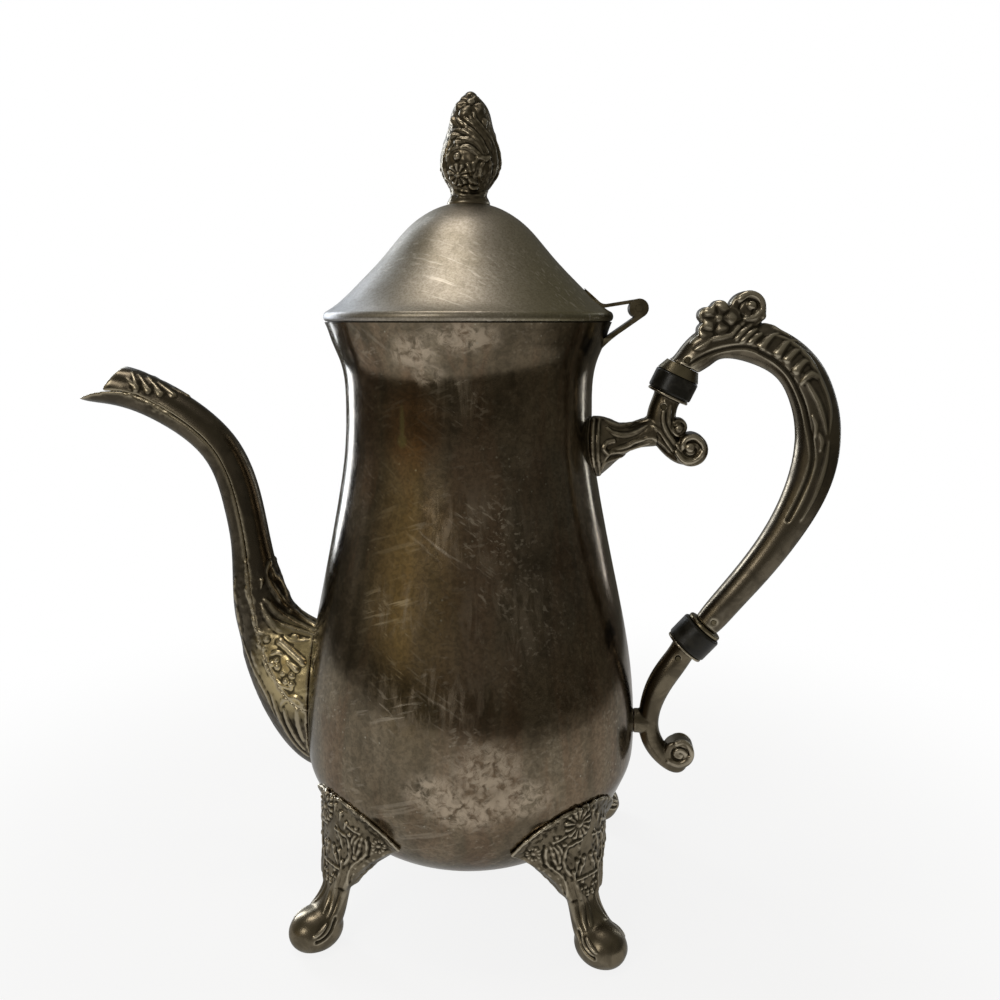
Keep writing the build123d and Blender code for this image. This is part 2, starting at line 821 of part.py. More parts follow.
def thumb_rosette():
    # A ring of petals round a boss, across the whole width of the handle's shoulder
    x = belly_radius + thumb_leaf_reach
    ring = thumb_leaf_radius - thumb_petal_radius
    centre = centred_cross_cylinder(x, thumb_leaf_height, ring, thumb_leaf_width)
    petals = []
    for step in range(thumb_petal_count):
        turn = thumb_petal_turn + 360 * step / thumb_petal_count
        place = at(x, thumb_leaf_height) + heading(turn) * ring
        petals.append(centred_cross_cylinder(place.X, place.Z, thumb_petal_radius, thumb_leaf_width))
    return centre + petals


def bracket_ring(plane, top):
    # The thin lip that an insulator sits on
    return plane.location * turned(bracket_ring_radius, top - bracket_ring_height, bracket_ring_height)


def upper_bracket():
    plane = upper_plane()
    face_offset = -upper_insulator_height / 2 - solder_gap
    ring = bracket_ring(plane, face_offset)
    neck_start = plane.origin + plane.z_dir * (face_offset - bracket_ring_height / 2)
    neck = bracket_neck_diameter
    scroll_faces = [section(neck_start.X, neck_start.Z, -90 - upper_joint_lean, neck, neck)]
    for reach, height, direction, depth, width in upper_scroll_stations:
        scroll_faces.append(section(belly_radius + reach, height, direction, depth, width))
    arm_faces = []
    arm_length = belly_radius + upper_arm_end_reach - waist_radius
    for share, height, depth, width in upper_arm_stations:
        arm_faces.append(section(waist_radius + share * arm_length, height, 0, depth, width))
    volute_x = belly_radius + upper_volute_reach
    end_volute = volute(volute_x, upper_volute_height, upper_volute_radius, upper_volute_width)
    curl = volute(belly_radius + upper_curl_reach, upper_curl_height, upper_curl_radius, upper_curl_width)
    bracket = loft(scroll_faces) + loft(arm_faces) + ring + end_volute + curl
    bracket = bracket - socket(plane, -upper_insulator_height / 2, -1)
    return bracket - pin_hole(plane, upper_pin_offsets()[1]) - body_solid(-solder_gap)


def lower_bracket():
    plane = lower_plane()
    face_offset = -lower_insulator_height / 2 - solder_gap
    ring = bracket_ring(plane, face_offset)
    neck_start = plane.origin + plane.z_dir * (face_offset - bracket_ring_height / 2)
    neck = lower_neck_diameter
    faces = [section(neck_start.X, neck_start.Z, -90 - lower_joint_lean, neck, neck)]
    for reach, height, direction, depth, width in lower_stem_stations:
        faces.append(section(belly_radius + reach, height, direction, depth, width))
    volute_x = belly_radius + lower_volute_reach
    end_volute = volute(volute_x, lower_volute_height, lower_volute_radius, lower_volute_width)
    boss_start = at(belly_radius - lower_boss_radius, lower_boss_height)
    boss_plane = Plane(origin=boss_start, x_dir=(0, 1, 0), z_dir=(1, 0, 0))
    boss = extrude(boss_plane * Circle(lower_boss_radius), lower_boss_radius + lower_stem_stations[3][0])
    bracket = loft(faces) + ring + end_volute + boss
    bracket = bracket - socket(plane, -lower_insulator_height / 2, -1)
    return bracket - pin_hole(plane, lower_pin_offsets()[1]) - body_solid(-solder_gap)


def apron_shell(inset):
    # Turned about an upright line inside the bowl, so the middle stands out and the wings lie back
    axis_x = belly_radius - apron_axis_inset
    points = [at(belly_radius + reach - inset, height) for reach, height in apron_profile]
    top = points[0]
    low = points[-1]
    edges = [
        Spline(points),
        Line(low, at(axis_x, low.Z)),
        Line(at(axis_x, low.Z), at(axis_x, top.Z)),
        Line(at(axis_x, top.Z), top),
    ]
    return revolve(closed_face(edges), Axis(at(axis_x, 0), (0, 0, 1)))


def apron_front():
    # Seen from outside: a low peak, scalloped shoulders, side corners and concave sweeps to the ankle
    peak = Vector(0, 0, apron_top_height)
    half = [
        Vector(0, apron_top_half_width, apron_top_height - apron_scallop),
        Vector(0, apron_corner_half_width, apron_corner_height),
        Vector(0, ankle_half_width, ankle_height),
    ]
    mid_shoulder = (half[0] + half[1]) / 2 + Vector(0, apron_scallop, apron_scallop) / 2
    mid_sweep = (half[1] + half[2]) / 2 + Vector(0, -apron_scallop, apron_scallop) / 2
    right = [ThreePointArc(half[0], mid_shoulder, half[1]), ThreePointArc(half[1], mid_sweep, half[2])]
    left = [edge.mirror(Plane.XZ) for edge in right]
    top = ThreePointArc(mirrored(half[0]), peak, half[0])
    base = Line(half[2], mirrored(half[2]))
    return extrude(closed_face([top] + right + [base] + left), 2 * belly_radius, dir=(1, 0, 0))


def mirrored(point):
    return Vector(point.X, -point.Y, point.Z)


def foot_pad():
    place = Pos(belly_radius + pad_reach, 0, pad_centre_height)
    return place * scale(Sphere(1), by=(pad_length / 2, pad_width / 2, pad_thickness / 2))


def below_table():
    size = 4 * belly_radius
    return Box(size, size, size, align=(Align.CENTER, Align.CENTER, Align.MAX))


def foot():
    faces = []
    for reach, height, direction, depth, width in leg_stations:
        faces.append(section(belly_radius + reach, height, direction, depth, width))
    apron = (apron_shell(0) & apron_front()) - apron_shell(apron_wall)
    return apron + loft(faces) + foot_pad() - below_table() - body_solid(-solder_gap)


def pieces():
    made = {
        "body_shell": body_shell(),
        "mouth_ring": mouth_ring(),
        "lid_dome": lid_dome(),
        "lid_collar": lid_collar(),
        "finial": finial(),
        "finial_washer": finial_washer(),
        "finial_nut": finial_nut(),
        "hinge_body_leaf": hinge_body_leaf(),
        "hinge_lid_leaf": hinge_lid_leaf(),
        "hinge_pin": hinge_pin(),
        "spout_upper_half": spout_upper_half(),
        "spout_lower_half": spout_lower_half(),
        "upper_bracket": upper_bracket(),
        "upper_insulator": upper_insulator(),
        "upper_ferrule": upper_ferrule(),
        "handle_grip": handle_grip(),
        "lower_bead": lower_bead(),
        "lower_insulator": lower_insulator(),
        "lower_bracket": lower_bracket(),
        "insulator_pins": cross_pins(),
    }
    one_foot = foot()
    for name, azimuth in foot_azimuths:
        made["foot_" + name] = Rot(0, 0, azimuth) * one_foot
    return made


def export_all():
    made = pieces()
    box = Compound([solid for piece in made.values() for solid in piece.solids()]).bounding_box()
    shift = -(box.min.X + box.max.X) / 2
    print("pot axis is at x =", round(shift, 4))
    print("hinge axis is at x =", round(shift + hinge_x(), 4), "z =", round(hinge_z(), 4))
    for name, piece in made.items():
        export_step(Pos(shift, 0, 0) * piece, "parts/" + name + ".step")


export_all()
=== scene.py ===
import math
from collections import namedtuple

import bpy
import numpy as np
from mathutils import Matrix, Vector, noise
from mathutils.bvhtree import BVHTree


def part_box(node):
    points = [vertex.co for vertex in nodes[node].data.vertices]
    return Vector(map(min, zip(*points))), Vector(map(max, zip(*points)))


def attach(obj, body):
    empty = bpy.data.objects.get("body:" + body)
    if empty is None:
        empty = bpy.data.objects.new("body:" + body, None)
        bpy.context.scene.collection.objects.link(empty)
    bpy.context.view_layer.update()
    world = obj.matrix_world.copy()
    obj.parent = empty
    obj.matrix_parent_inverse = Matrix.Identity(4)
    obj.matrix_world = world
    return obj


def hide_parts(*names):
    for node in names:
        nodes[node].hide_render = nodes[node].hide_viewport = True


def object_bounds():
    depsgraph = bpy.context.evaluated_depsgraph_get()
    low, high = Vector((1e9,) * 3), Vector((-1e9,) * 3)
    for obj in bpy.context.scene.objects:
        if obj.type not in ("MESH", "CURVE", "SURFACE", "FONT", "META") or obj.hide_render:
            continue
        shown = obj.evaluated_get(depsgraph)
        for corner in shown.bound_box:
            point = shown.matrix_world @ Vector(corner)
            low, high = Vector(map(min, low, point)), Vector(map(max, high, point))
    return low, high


# Footed teapot in tarnished silver plate: satin lid, mottled body and cast ornament, dark in its hollows

MM = 0.001

# Viewpoint, measured from the pot's axis, in metres
camera_offset = Vector((0.04052, -0.33002, 0.20725))
camera_forward = Vector((-0.08908, 0.97837, -0.1867))
camera_lens = 34.416
camera_sensor = 36.0
camera_near = 0.01
picture_side = 1000

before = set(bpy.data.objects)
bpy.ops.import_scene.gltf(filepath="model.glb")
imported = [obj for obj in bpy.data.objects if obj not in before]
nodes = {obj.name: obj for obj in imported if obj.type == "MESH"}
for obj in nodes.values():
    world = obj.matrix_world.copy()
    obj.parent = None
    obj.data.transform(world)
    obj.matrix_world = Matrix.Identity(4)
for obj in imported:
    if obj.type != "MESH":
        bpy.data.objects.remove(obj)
cad_low, cad_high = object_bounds()

body_low, body_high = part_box("body_shell")
pot_axis = Vector(((body_low.x + body_high.x) / 2, 0.0, 0.0))
# A point in the middle of the body, from its axis at the foot
body_middle = Vector((0.0, 0.0, 0.12))

# Castings that get carved ornament. The voxel and the lumps between the lines are in millimetres, and turn
# is the direction in degrees of the middle plane or axis about which the ornament repeats. Smoothing is the
# number of passes before the carving, and breadth and rise are factors for the lines.
Casting = namedtuple("Casting", "voxel slot body turn repeat smoothing breadth rise lumps")
castings = {
    "spout_lower_half": Casting(0.43, "cast_spout", "pot", 0.0, "mirror", 5, 1.6, 0.8, 0.12),
    "spout_upper_half": Casting(0.38, "cast_spout", "pot", 0.0, "mirror", 5, 1.6, 0.8, 0.12),
    "handle_grip": Casting(0.34, "cast_handle", "pot", 0.0, "mirror", 8, 1.55, 0.75, 0.0),
    "upper_bracket": Casting(0.22, "cast_ornament", "pot", 0.0, "mirror", 8, 1.5, 0.8, 0.1),
    "lower_bracket": Casting(0.22, "cast_ornament", "pot", 0.0, "mirror", 10, 1.6, 0.6, 0.0),
    "foot_front_right": Casting(0.25, "cast_ornament", "pot", 315.8, "mirror", 14, 1.45, 0.8, 0.3),
    "finial": Casting(0.19, "cast_ornament", "lid", 7.0, "half_turn", 4, 1.5, 0.85, 0.26),
}
# The other feet are copies of the carved one, turned to these directions in degrees
foot_turns = {"foot_front_left": 225.0, "foot_back_left": 135.0, "foot_back_right": 44.2}
carved_foot = "foot_front_right"

# Enlarged views in which the ornament's lines are laid out: left edge, top edge, pixels per picture pixel
plain_view = (0.0, 0.0, 1.0)
foot_view = (505.0, 800.0, 9.03)
finial_view = (435.0, 85.0, 12.06)
root_view = (225.0, 550.0, 7.127)

# A line of ornament is: kind, height in mm, half width in mm, and its points in the view.
# Kinds: lens is thin at both ends, drop has a round head and a thin tail, cord is even,
# groove is an even channel, and dot is one round bead.
foot_lines = [
    ("cord", 0.35, 0.5, [(70, 500), (160, 400), (260, 320), (400, 212), (520, 125), (640, 72), (740, 45)]),
    ("lens", 0.7, 0.62, [(285, 318), (350, 395)]),
    ("lens", 0.7, 0.62, [(325, 288), (392, 378)]),
    ("lens", 0.7, 0.62, [(366, 260), (428, 348)]),
    ("lens", 0.7, 0.62, [(408, 230), (460, 316)]),
    ("lens", 0.7, 0.62, [(450, 203), (495, 286)]),
    ("lens", 0.7, 0.62, [(496, 176), (530, 254)]),
    ("lens", 0.7, 0.55, [(545, 150), (570, 212)]),
    ("cord", 0.5, 0.5, [(440, 388), (500, 356), (548, 326)]),
    ("lens", 0.6, 0.7, [(380, 420), (360, 500), (380, 570), (440, 640), (505, 685), (548, 745)]),
    ("lens", 0.6, 0.6, [(405, 410), (432, 480), (452, 560), (490, 605)]),
    ("lens", 0.6, 0.55, [(432, 415), (475, 470), (492, 540), (484, 590)]),
    ("lens", 0.6, 0.5, [(470, 400), (505, 440), (512, 500)]),
    ("dot", 0.9, 0.75, [(486, 606)]),
    ("dot", 0.7, 0.6, [(540, 408)]),
    ("dot", 0.6, 0.5, [(470, 342)]),
    ("cord", 0.6, 0.55, [(690, 352), (620, 395), (562, 430), (540, 500), (530, 570), (552, 622),
        (582, 665), (622, 690)]),
    ("drop", 0.9, 0.75, [(710, 515), (698, 640)]),
    ("drop", 0.9, 0.75, [(655, 555), (640, 655)]),
    ("drop", 0.9, 0.7, [(618, 655), (636, 735)]),
    ("drop", 0.7, 0.6, [(690, 590), (672, 680)]),
    ("cord", 0.6, 0.5, [(655, 722), (735, 684)]),
    ("dot", 0.6, 0.55, [(700, 735)]),
    ("dot", 0.6, 0.5, [(724, 785)]),
    ("dot", 0.6, 0.55, [(745, 850)]),
    ("dot", 0.6, 0.5, [(780, 800)]),
    ("dot", 0.5, 0.45, [(690, 800)]),
    ("lens", 0.55, 0.95, [(545, 745), (566, 850), (606, 960), (645, 1080), (682, 1190), (712, 1285)]),
    ("lens", 0.6, 0.8, [(628, 720), (655, 800), (682, 880), (702, 1000), (712, 1100), (735, 1190)]),
    ("lens", 0.5, 0.8, [(692, 850), (735, 940), (760, 1050), (782, 1150)]),
    ("lens", 0.9, 0.62, [(690, 1215), (716, 1300), (752, 1362), (798, 1412)]),
    ("lens", 0.9, 0.62, [(728, 1235), (762, 1310), (800, 1360), (834, 1388)]),
    ("groove", 0.7, 0.6, [(668, 1190), (690, 1290), (735, 1375), (800, 1432)]),
    ("lens", 0.6, 0.75, [(325, 596), (400, 622), (470, 672), (525, 730), (552, 800), (552, 850)]),
    ("lens", 0.35, 0.8, [(270, 612), (350, 680), (430, 760), (505, 842)]),
    ("groove", 0.5, 0.5, [(350, 590), (440, 655), (505, 715), (535, 790), (538, 850)]),
    ("groove", 0.45, 0.5, [(352, 420), (345, 500), (352, 565)]),
]
# A flower is: centre, inner and outer radius in mm, petals, height in mm, and boss radius in mm
foot_flowers = [((255, 485), 0.7, 2.1, 11, 0.6, 0.6)]
# These stand once in the middle of the foot and are not mirrored
foot_single_flowers = [((668, 215), 1.1, 4.4, 13, 0.95, 1.0)]
foot_single_lines = [
    ("drop", 0.8, 0.7, [(750, 75), (735, 130)]),
    ("drop", 0.8, 0.7, [(795, 85), (790, 150)]),
    ("drop", 0.8, 0.7, [(835, 110), (830, 180)]),
    ("drop", 0.8, 0.7, [(862, 160), (850, 230)]),
    ("lens", 0.6, 0.6, [(800, 250), (825, 330), (835, 420)]),
    ("lens", 0.6, 0.6, [(860, 260), (868, 360), (866, 470)]),
]
finial_lines = [
    ("dot", 0.7, 1.5, [(425, 104)]),
    ("drop", 1.1, 1.7, [(535, 270), (478, 250)]),
    ("drop", 1.1, 1.6, [(365, 325), (415, 255)]),
    ("drop", 0.9, 1.5, [(295, 235), (370, 225)]),
    ("drop", 0.8, 1.3, [(350, 165), (405, 195)]),
    ("drop", 0.8, 1.3, [(490, 160), (455, 195)]),
    ("dot", 1.3, 0.9, [(432, 208)]),
    ("lens", 0.9, 0.75, [(255, 395), (330, 470), (450, 560), (560, 680), (645, 830)]),
    ("lens", 0.9, 0.7, [(325, 365), (400, 430), (500, 520), (600, 650), (680, 800)]),
    ("lens", 0.9, 0.7, [(410, 370), (470, 450), (560, 560), (650, 690), (715, 850)]),
    ("lens", 0.9, 0.7, [(465, 340), (500, 430), (590, 550), (680, 680), (745, 860)]),
    ("lens", 0.9, 0.75, [(205, 540), (300, 545), (420, 585), (520, 675), (600, 800)]),
    ("lens", 0.9, 0.75, [(262, 640), (340, 645), (440, 672), (520, 740), (580, 840)]),
    ("lens", 0.9, 0.8, [(305, 760), (370, 742), (450, 772), (510, 822), (560, 870)]),
    ("drop", 1.0, 1.0, [(210, 430), (300, 510)]),
    ("drop", 1.0, 0.95, [(212, 605), (300, 600)]),
    ("drop", 1.0, 0.9, [(262, 700), (360, 690)]),
    ("drop", 0.9, 0.7, [(270, 735), (180, 800)]),
    ("dot", 0.9, 0.85, [(266, 862)]),
    ("drop", 0.9, 0.85, [(602, 440), (608, 530)]),
    ("lens", 1.0, 0.7, [(500, 870), (560, 882), (620, 892), (672, 862)]),
    ("lens", 0.7, 0.6, [(520, 900), (470, 960), (460, 1060)]),
    ("lens", 0.7, 0.6, [(390, 955), (420, 1010), (440, 1100)]),
    ("lens", 0.6, 0.6, [(600, 905), (560, 1000), (540, 1130)]),
    ("lens", 1.0, 0.75, [(400, 1120), (450, 1170), (500, 1185)]),
    ("lens", 1.0, 0.7, [(415, 1215), (460, 1248), (505, 1240)]),
    ("lens", 0.8, 0.75, [(690, 560), (750, 740), (778, 900), (765, 1050), (700, 1180), (640, 1270)]),
    ("lens", 0.7, 0.7, [(645, 560), (705, 760), (735, 920), (715, 1060), (660, 1190)]),
    ("lens", 0.6, 0.6, [(660, 880), (672, 1000), (640, 1120), (590, 1230)]),
    ("lens", 0.7, 0.7, [(185, 640), (130, 800), (108, 950), (135, 1090), (205, 1220)]),
    ("lens", 0.7, 0.6, [(240, 690), (170, 820), (140, 930)]),
    ("cord", 0.5, 0.6, [(230, 1290), (330, 1325), (440, 1335), (560, 1322), (640, 1290)]),
]
finial_flowers = [((280, 1085), 0.8, 3.1, 10, 0.9, 0.7)]
root_lines = [
    ("lens", 1.1, 1.5, [(372, 70), (392, 170), (430, 290), (520, 420), (620, 500)]),
    ("drop", 0.9, 0.8, [(322, 92), (300, 160), (330, 250)]),
    ("lens", 1.1, 1.3, [(300, 185), (345, 270), (430, 380), (540, 470), (650, 540)]),
    ("drop", 0.8, 0.6, [(265, 212), (255, 280)]),
    ("lens", 1.1, 1.3, [(280, 350), (340, 415), (440, 490), (560, 548), (660, 585)]),
    ("lens", 1.0, 1.1, [(262, 380), (300, 470), (380, 560), (470, 590)]),
    ("lens", 1.0, 1.0, [(340, 502), (420, 545), (540, 580), (650, 612)]),
    ("dot", 0.6, 0.9, [(500, 622)]),
    ("lens", 0.5, 0.7, [(420, 605), (460, 640), (530, 650), (600, 640)]),
    ("cord", 1.2, 0.95, [(395, 655), (470, 722), (552, 800)]),
    ("drop", 1.1, 0.95, [(212, 490), (232, 570), (275, 600)]),
    ("dot", 1.0, 0.8, [(296, 636)]),
    ("dot", 1.0, 0.75, [(248, 676)]),
    ("dot", 0.8, 0.6, [(275, 700)]),
    ("cord", 0.9, 0.6, [(282, 765), (300, 830), (342, 900), (400, 960), (470, 985)]),
    ("lens", 1.0, 0.55, [(330, 745), (370, 728), (410, 745)]),
    ("dot", 1.1, 0.85, [(336, 808)]),
    ("dot", 1.1, 0.8, [(372, 832)]),
    ("dot", 1.0, 0.65, [(366, 786)]),
    ("drop", 1.2, 0.85, [(506, 850), (440, 790)]),
    ("dot", 1.1, 0.8, [(476, 896)]),
    ("dot", 1.2, 0.85, [(434, 936)]),
    ("dot", 1.1, 0.75, [(472, 955)]),
    ("dot", 0.8, 0.6, [(410, 880)]),
    ("lens", 0.7, 0.8, [(395, 1110), (430, 1062), (500, 1055), (548, 1095), (562, 1150)]),
    ("lens", 0.8, 1.0, [(330, 1020), (372, 1150), (440, 1290), (520, 1400), (600, 1475)]),
    ("lens", 0.8, 0.9, [(420, 1130), (446, 1220), (512, 1345), (575, 1430)]),
    ("lens", 0.8, 0.9, [(510, 1130), (522, 1240), (562, 1370)]),
    ("lens", 0.6, 0.8, [(120, 620), (170, 760), (230, 900), (300, 1040), (360, 1170), (430, 1290)]),
    ("lens", 0.8, 0.6, [(145, 80), (165, 220), (188, 370), (210, 475)]),
    ("lens", 0.6, 1.1, [(75, 200), (70, 290), (88, 390)]),
    ("lens", 0.6, 1.1, [(85, 400), (100, 500), (122, 610)]),
    ("lens", 0.6, 1.0, [(190, 720), (215, 800), (245, 880)]),
]
spout_lines = [
    ("drop", 0.7, 0.8, [(134, 386), (126, 378)]),
    ("drop", 0.9, 0.95, [(136, 388), (132, 372)]),
    ("drop", 0.9, 0.95, [(148, 391), (138, 374)]),
    ("drop", 0.9, 0.95, [(160, 394), (148, 377)]),
    ("drop", 0.9, 0.9, [(173, 395), (158, 382)]),
    ("drop", 0.8, 0.7, [(188, 396), (170, 387)]),
]
handle_lines = [
    ("lens", 0.8, 1.3, [(692, 343), (700, 338), (712, 334)]),
    ("lens", 0.7, 0.8, [(694, 350), (704, 345), (713, 338)]),
    ("lens", 0.8, 0.7, [(706, 341), (722, 337), (736, 334)]),
    ("lens", 0.9, 0.8, [(736, 340), (743, 332), (752, 324)]),
    ("lens", 0.9, 0.75, [(741, 343), (749, 335), (757, 328)]),
    ("lens", 0.9, 0.75, [(731, 337), (737, 329), (745, 322)]),
    ("lens", 0.8, 0.7, [(748, 345), (755, 338), (762, 333)]),
    ("cord", 0.8, 0.9, [(741, 299), (749, 293), (758, 295), (763, 302), (761, 311), (755, 317),
        (747, 318)]),
    ("dot", 1.0, 1.0, [(752, 305)]),
    ("lens", 0.8, 1.0, [(762, 312), (768, 322), (778, 330), (790, 336)]),
    ("drop", 1.0, 1.1, [(762, 347), (772, 336), (782, 333)]),
    ("drop", 1.0, 1.1, [(778, 354), (788, 342), (798, 341)]),
    ("drop", 1.0, 1.0, [(787, 360), (798, 350), (808, 352)]),
    ("drop", 1.0, 1.1, [(796, 371), (806, 361), (816, 366)]),
    ("lens", 0.9, 0.9, [(800, 385), (812, 374), (822, 380)]),
    ("lens", 0.7, 0.7, [(765, 335), (782, 337), (798, 347), (810, 360), (820, 378), (828, 398), (831, 416),
        (829, 436)]),
    ("lens", 0.7, 0.7, [(802, 374), (811, 389), (819, 404), (824, 420), (827, 436)]),
    ("lens", 0.7, 0.7, [(829, 440), (825, 465), (815, 495), (800, 522)]),
    ("lens", 0.6, 0.6, [(818, 432), (822, 441), (820, 452)]),
    ("lens", 0.6, 0.6, [(812, 415), (816, 426), (815, 438)]),
    ("groove", 0.7, 0.6, [(690, 364), (706, 355), (726, 349), (746, 347), (760, 351)]),
    ("groove", 0.7, 0.6, [(760, 352), (775, 361), (788, 374), (797, 390), (804, 408), (808, 427)]),
    ("groove", 0.7, 0.6, [(808, 427), (812, 448), (812, 463), (807, 481), (797, 503), (788, 520)]),
]
handle_flowers = [((719, 318), 0.7, 3.6, 5, 1.1, 1.0)]
arm_lines = [
    ("cord", 0.6, 0.6, [(593, 420), (592.5, 450), (594, 476)]),
    ("cord", 0.5, 0.55, [(598.5, 419), (598, 450), (600, 476)]),
    ("lens", 0.9, 0.75, [(603, 419), (612, 424), (622, 426), (635, 423), (650, 419)]),
    ("lens", 0.9, 0.75, [(606, 427), (614, 433), (624, 435), (636, 432), (648, 425)]),
    ("lens", 0.9, 0.7, [(611, 450), (624, 447), (635, 442), (646, 439)]),
    ("lens", 0.9, 0.75, [(604, 462), (610, 453), (622, 451), (636, 447), (650, 443)]),
    ("lens", 0.8, 0.75, [(600, 472), (606, 462), (616, 458), (626, 455)]),
    ("cord", 0.8, 0.6, [(614, 441), (607, 443), (604, 449), (608, 454)]),
    ("lens", 0.8, 0.7, [(665, 400), (663, 418), (666, 430), (674, 442), (682, 452)]),
    ("lens", 0.8, 0.7, [(671, 404), (669, 421), (674, 433), (681, 437)]),
    ("dot", 0.9, 0.9, [(679, 429)]),
    ("cord", 0.9, 0.75, [(676, 452), (684, 461), (694, 461), (702, 454), (702, 444), (694, 437),
        (685, 440), (683, 448)]),
    ("dot", 1.0, 1.1, [(690, 448)]),
    ("lens", 0.6, 0.6, [(652, 425), (660, 432), (668, 444), (676, 456)]),
    ("lens", 0.6, 0.6, [(640, 440), (652, 438), (662, 444), (670, 453)]),
]
scroll_lines = [
    ("cord", 0.8, 0.8, [(669, 762), (679, 765), (689, 760), (691, 750), (685, 742), (677, 744)]),
    ("dot", 0.9, 1.8, [(681, 752)]),
]

# The sheets laid on each casting: view, lines, flowers, and whether all repeat or lie there a single time
ornament = {
    "spout_lower_half": [(root_view, root_lines, [], "all"), (plain_view, spout_lines, [], "all")],
    "spout_upper_half": [(root_view, root_lines, [], "all"), (plain_view, spout_lines, [], "all")],
    "handle_grip": [(plain_view, handle_lines, handle_flowers, "all")],
    "upper_bracket": [(plain_view, arm_lines, [], "all")],
    "lower_bracket": [(plain_view, scroll_lines, [], "all")],
    "foot_front_right": [
        (foot_view, foot_lines, foot_flowers, "all"),
        (foot_view, foot_single_lines, foot_single_flowers, "single"),
    ],
    "finial": [(finial_view, finial_lines, finial_flowers, "all")],
}

# Outline of the apron on the bowl: degrees from the foot's middle, and lowest and highest height in mm
apron_marks = (
    (0.0, 34.0, 51.3),
    (4.6, 33.5, 51.9),
    (9.7, 33.0, 51.0),
    (14.2, 33.2, 48.8),
    (19.0, 34.2, 45.4),
    (22.3, 35.4, 42.0),
    (24.4, 36.6, 38.9),
    (25.4, 37.0, 37.6),
)
# Its two faces over the bowl in mm, its grid, and how far out in metres its sight lines start
apron_outer = 1.3
apron_inner = 0.1
apron_stations = 41
apron_rows = 10
apron_sight = 0.1

# Heights in mm where the foot's apron flows into its leg, smoothed from the first on, fully between the two
# in the middle and up to the last, and the passes for it
apron_blend = (9.0, 16.0, 26.0, 36.0)
apron_blend_passes = 90

# Small lumps round the lines: how fine they are, how far they spread, and the heights in mm between which
# they begin on a foot
lump_scale = 620.0
lump_spread_passes = 30
lump_heights = (22.0, 28.0)

# Steps of the curve between two points of a line, a lens's width at its ends and how full it is between
# them, how far a drop tapers, and how much of its room a petal fills
curve_steps = 6
lens_end = 0.22
lens_power = 0.55
drop_taper = 0.72
petal_share = 0.72

# A line only moves the skin that faces its way: least agreement, and the span over which it takes hold
facing_least = 0.05
facing_span = 0.35

# How far each pass of smoothing moves a vertex, and the passes after the carving
smoothing_share = 0.5
smoothing_after = 2

# Two corners of a solid nearer than this gap in mm are one, and a step of a line whose square in metres is
# smaller than this is a point
weld_gap = 0.001
tiny_square = 1e-14

# Relief kept for the colours: its full depth in mm over the surroundings, and how these are smoothed
relief_depth = 0.12
relief_passes = 14
relief_share = 0.6

# The finial leans to the handle's side by this much at its top, over this height, in mm
finial_lean = 1.0
finial_lean_span = 20.0

# Dark ring that stands for the shade in the joint under the lid, painted shade: radius, half thickness and
# height in mm, and its facets round the pot and round the line
joint_shade_ring = (47.75, 0.14, 206.15)
joint_shade_steps = (256, 8)


def deselect():
    bpy.ops.object.select_all(action="DESELECT")


def make_camera():
    data = bpy.data.cameras.new("camera")
    data.lens = camera_lens
    data.sensor_width = camera_sensor
    data.clip_start = camera_near
    camera = bpy.data.objects.new("camera", data)
    camera.location = pot_axis + camera_offset
    camera.rotation_mode = "QUATERNION"
    camera.rotation_quaternion = camera_forward.to_track_quat("-Z", "Y")
    bpy.context.scene.collection.objects.link(camera)
    bpy.context.scene.camera = camera


# The lamps: place from the pot's axis, width, height, power and colour; all aim at one target
lamp_target = (0.0, 0.0, 0.14)
lamps = {
    "window_back_left": ((-0.75, 0.62, 0.3), 0.22, 0.8, 5.5, (0.84, 0.90, 1.0)),
    "window_back_right": ((0.7, 0.7, 0.28), 0.06, 0.7, 0.6, (0.9, 0.95, 1.0)),
    "ceiling": ((-0.18, -0.02, 1.1), 0.22, 0.45, 1.55, (1.0, 0.94, 0.88)),
    "window_high_left": ((-0.58, 0.84, 0.84), 0.3, 0.45, 1.05, (0.80, 0.88, 1.0)),
    "front_fill": ((-0.5, -0.9, 0.6), 0.35, 0.35, 1.6, (1.0, 0.95, 0.88)),
}


def make_lights():
    for name, (place, width, height, power, colour) in lamps.items():
        data = bpy.data.lights.new(name, "AREA")
        data.shape = "RECTANGLE"
        data.size = width
        data.size_y = height
        data.energy = power
        data.color = colour
        light = bpy.data.objects.new(name, data)
        light.location = pot_axis + Vector(place)
        aim = pot_axis + Vector(lamp_target) - light.location
        light.rotation_mode = "QUATERNION"
        light.rotation_quaternion = aim.to_track_quat("-Z", "Y")
        light.visible_camera = False
        bpy.context.scene.collection.objects.link(light)


def put(tree, kind, settings=None, sockets=None):
    # A node with its settings, and with each socket given a value or linked to an output
    node = tree.nodes.new(kind)
    for name, value in (settings or {}).items():
        setattr(node, name, value)
    for name, value in (sockets or {}).items():
        if isinstance(value, bpy.types.NodeSocket):
            tree.links.new(value, node.inputs[name])
        else:
            node.inputs[name].default_value = value
    return node


def rgba(colour):
    return (*colour, 1.0)


def ramp(tree, value, stops):
    # Stops are a place from 0 to 1 and a colour
    node = put(tree, "ShaderNodeValToRGB", None, {0: value})
    points = node.color_ramp.elements
    while len(points) < len(stops):
        points.new(0.5)
    for point, (place, colour) in zip(points, stops):
        point.position = place
        point.color = rgba(colour)
    return node.outputs["Color"]


def between(tree, value, low, high, out_low=0.0, out_high=1.0):
    # The value stretched smoothly from low and high to the two ends
    settings = {"interpolation_type": "SMOOTHSTEP"}
    sockets = {"Value": value, "From Min": low, "From Max": high, "To Min": out_low, "To Max": out_high}
    return put(tree, "ShaderNodeMapRange", settings, sockets).outputs[0]


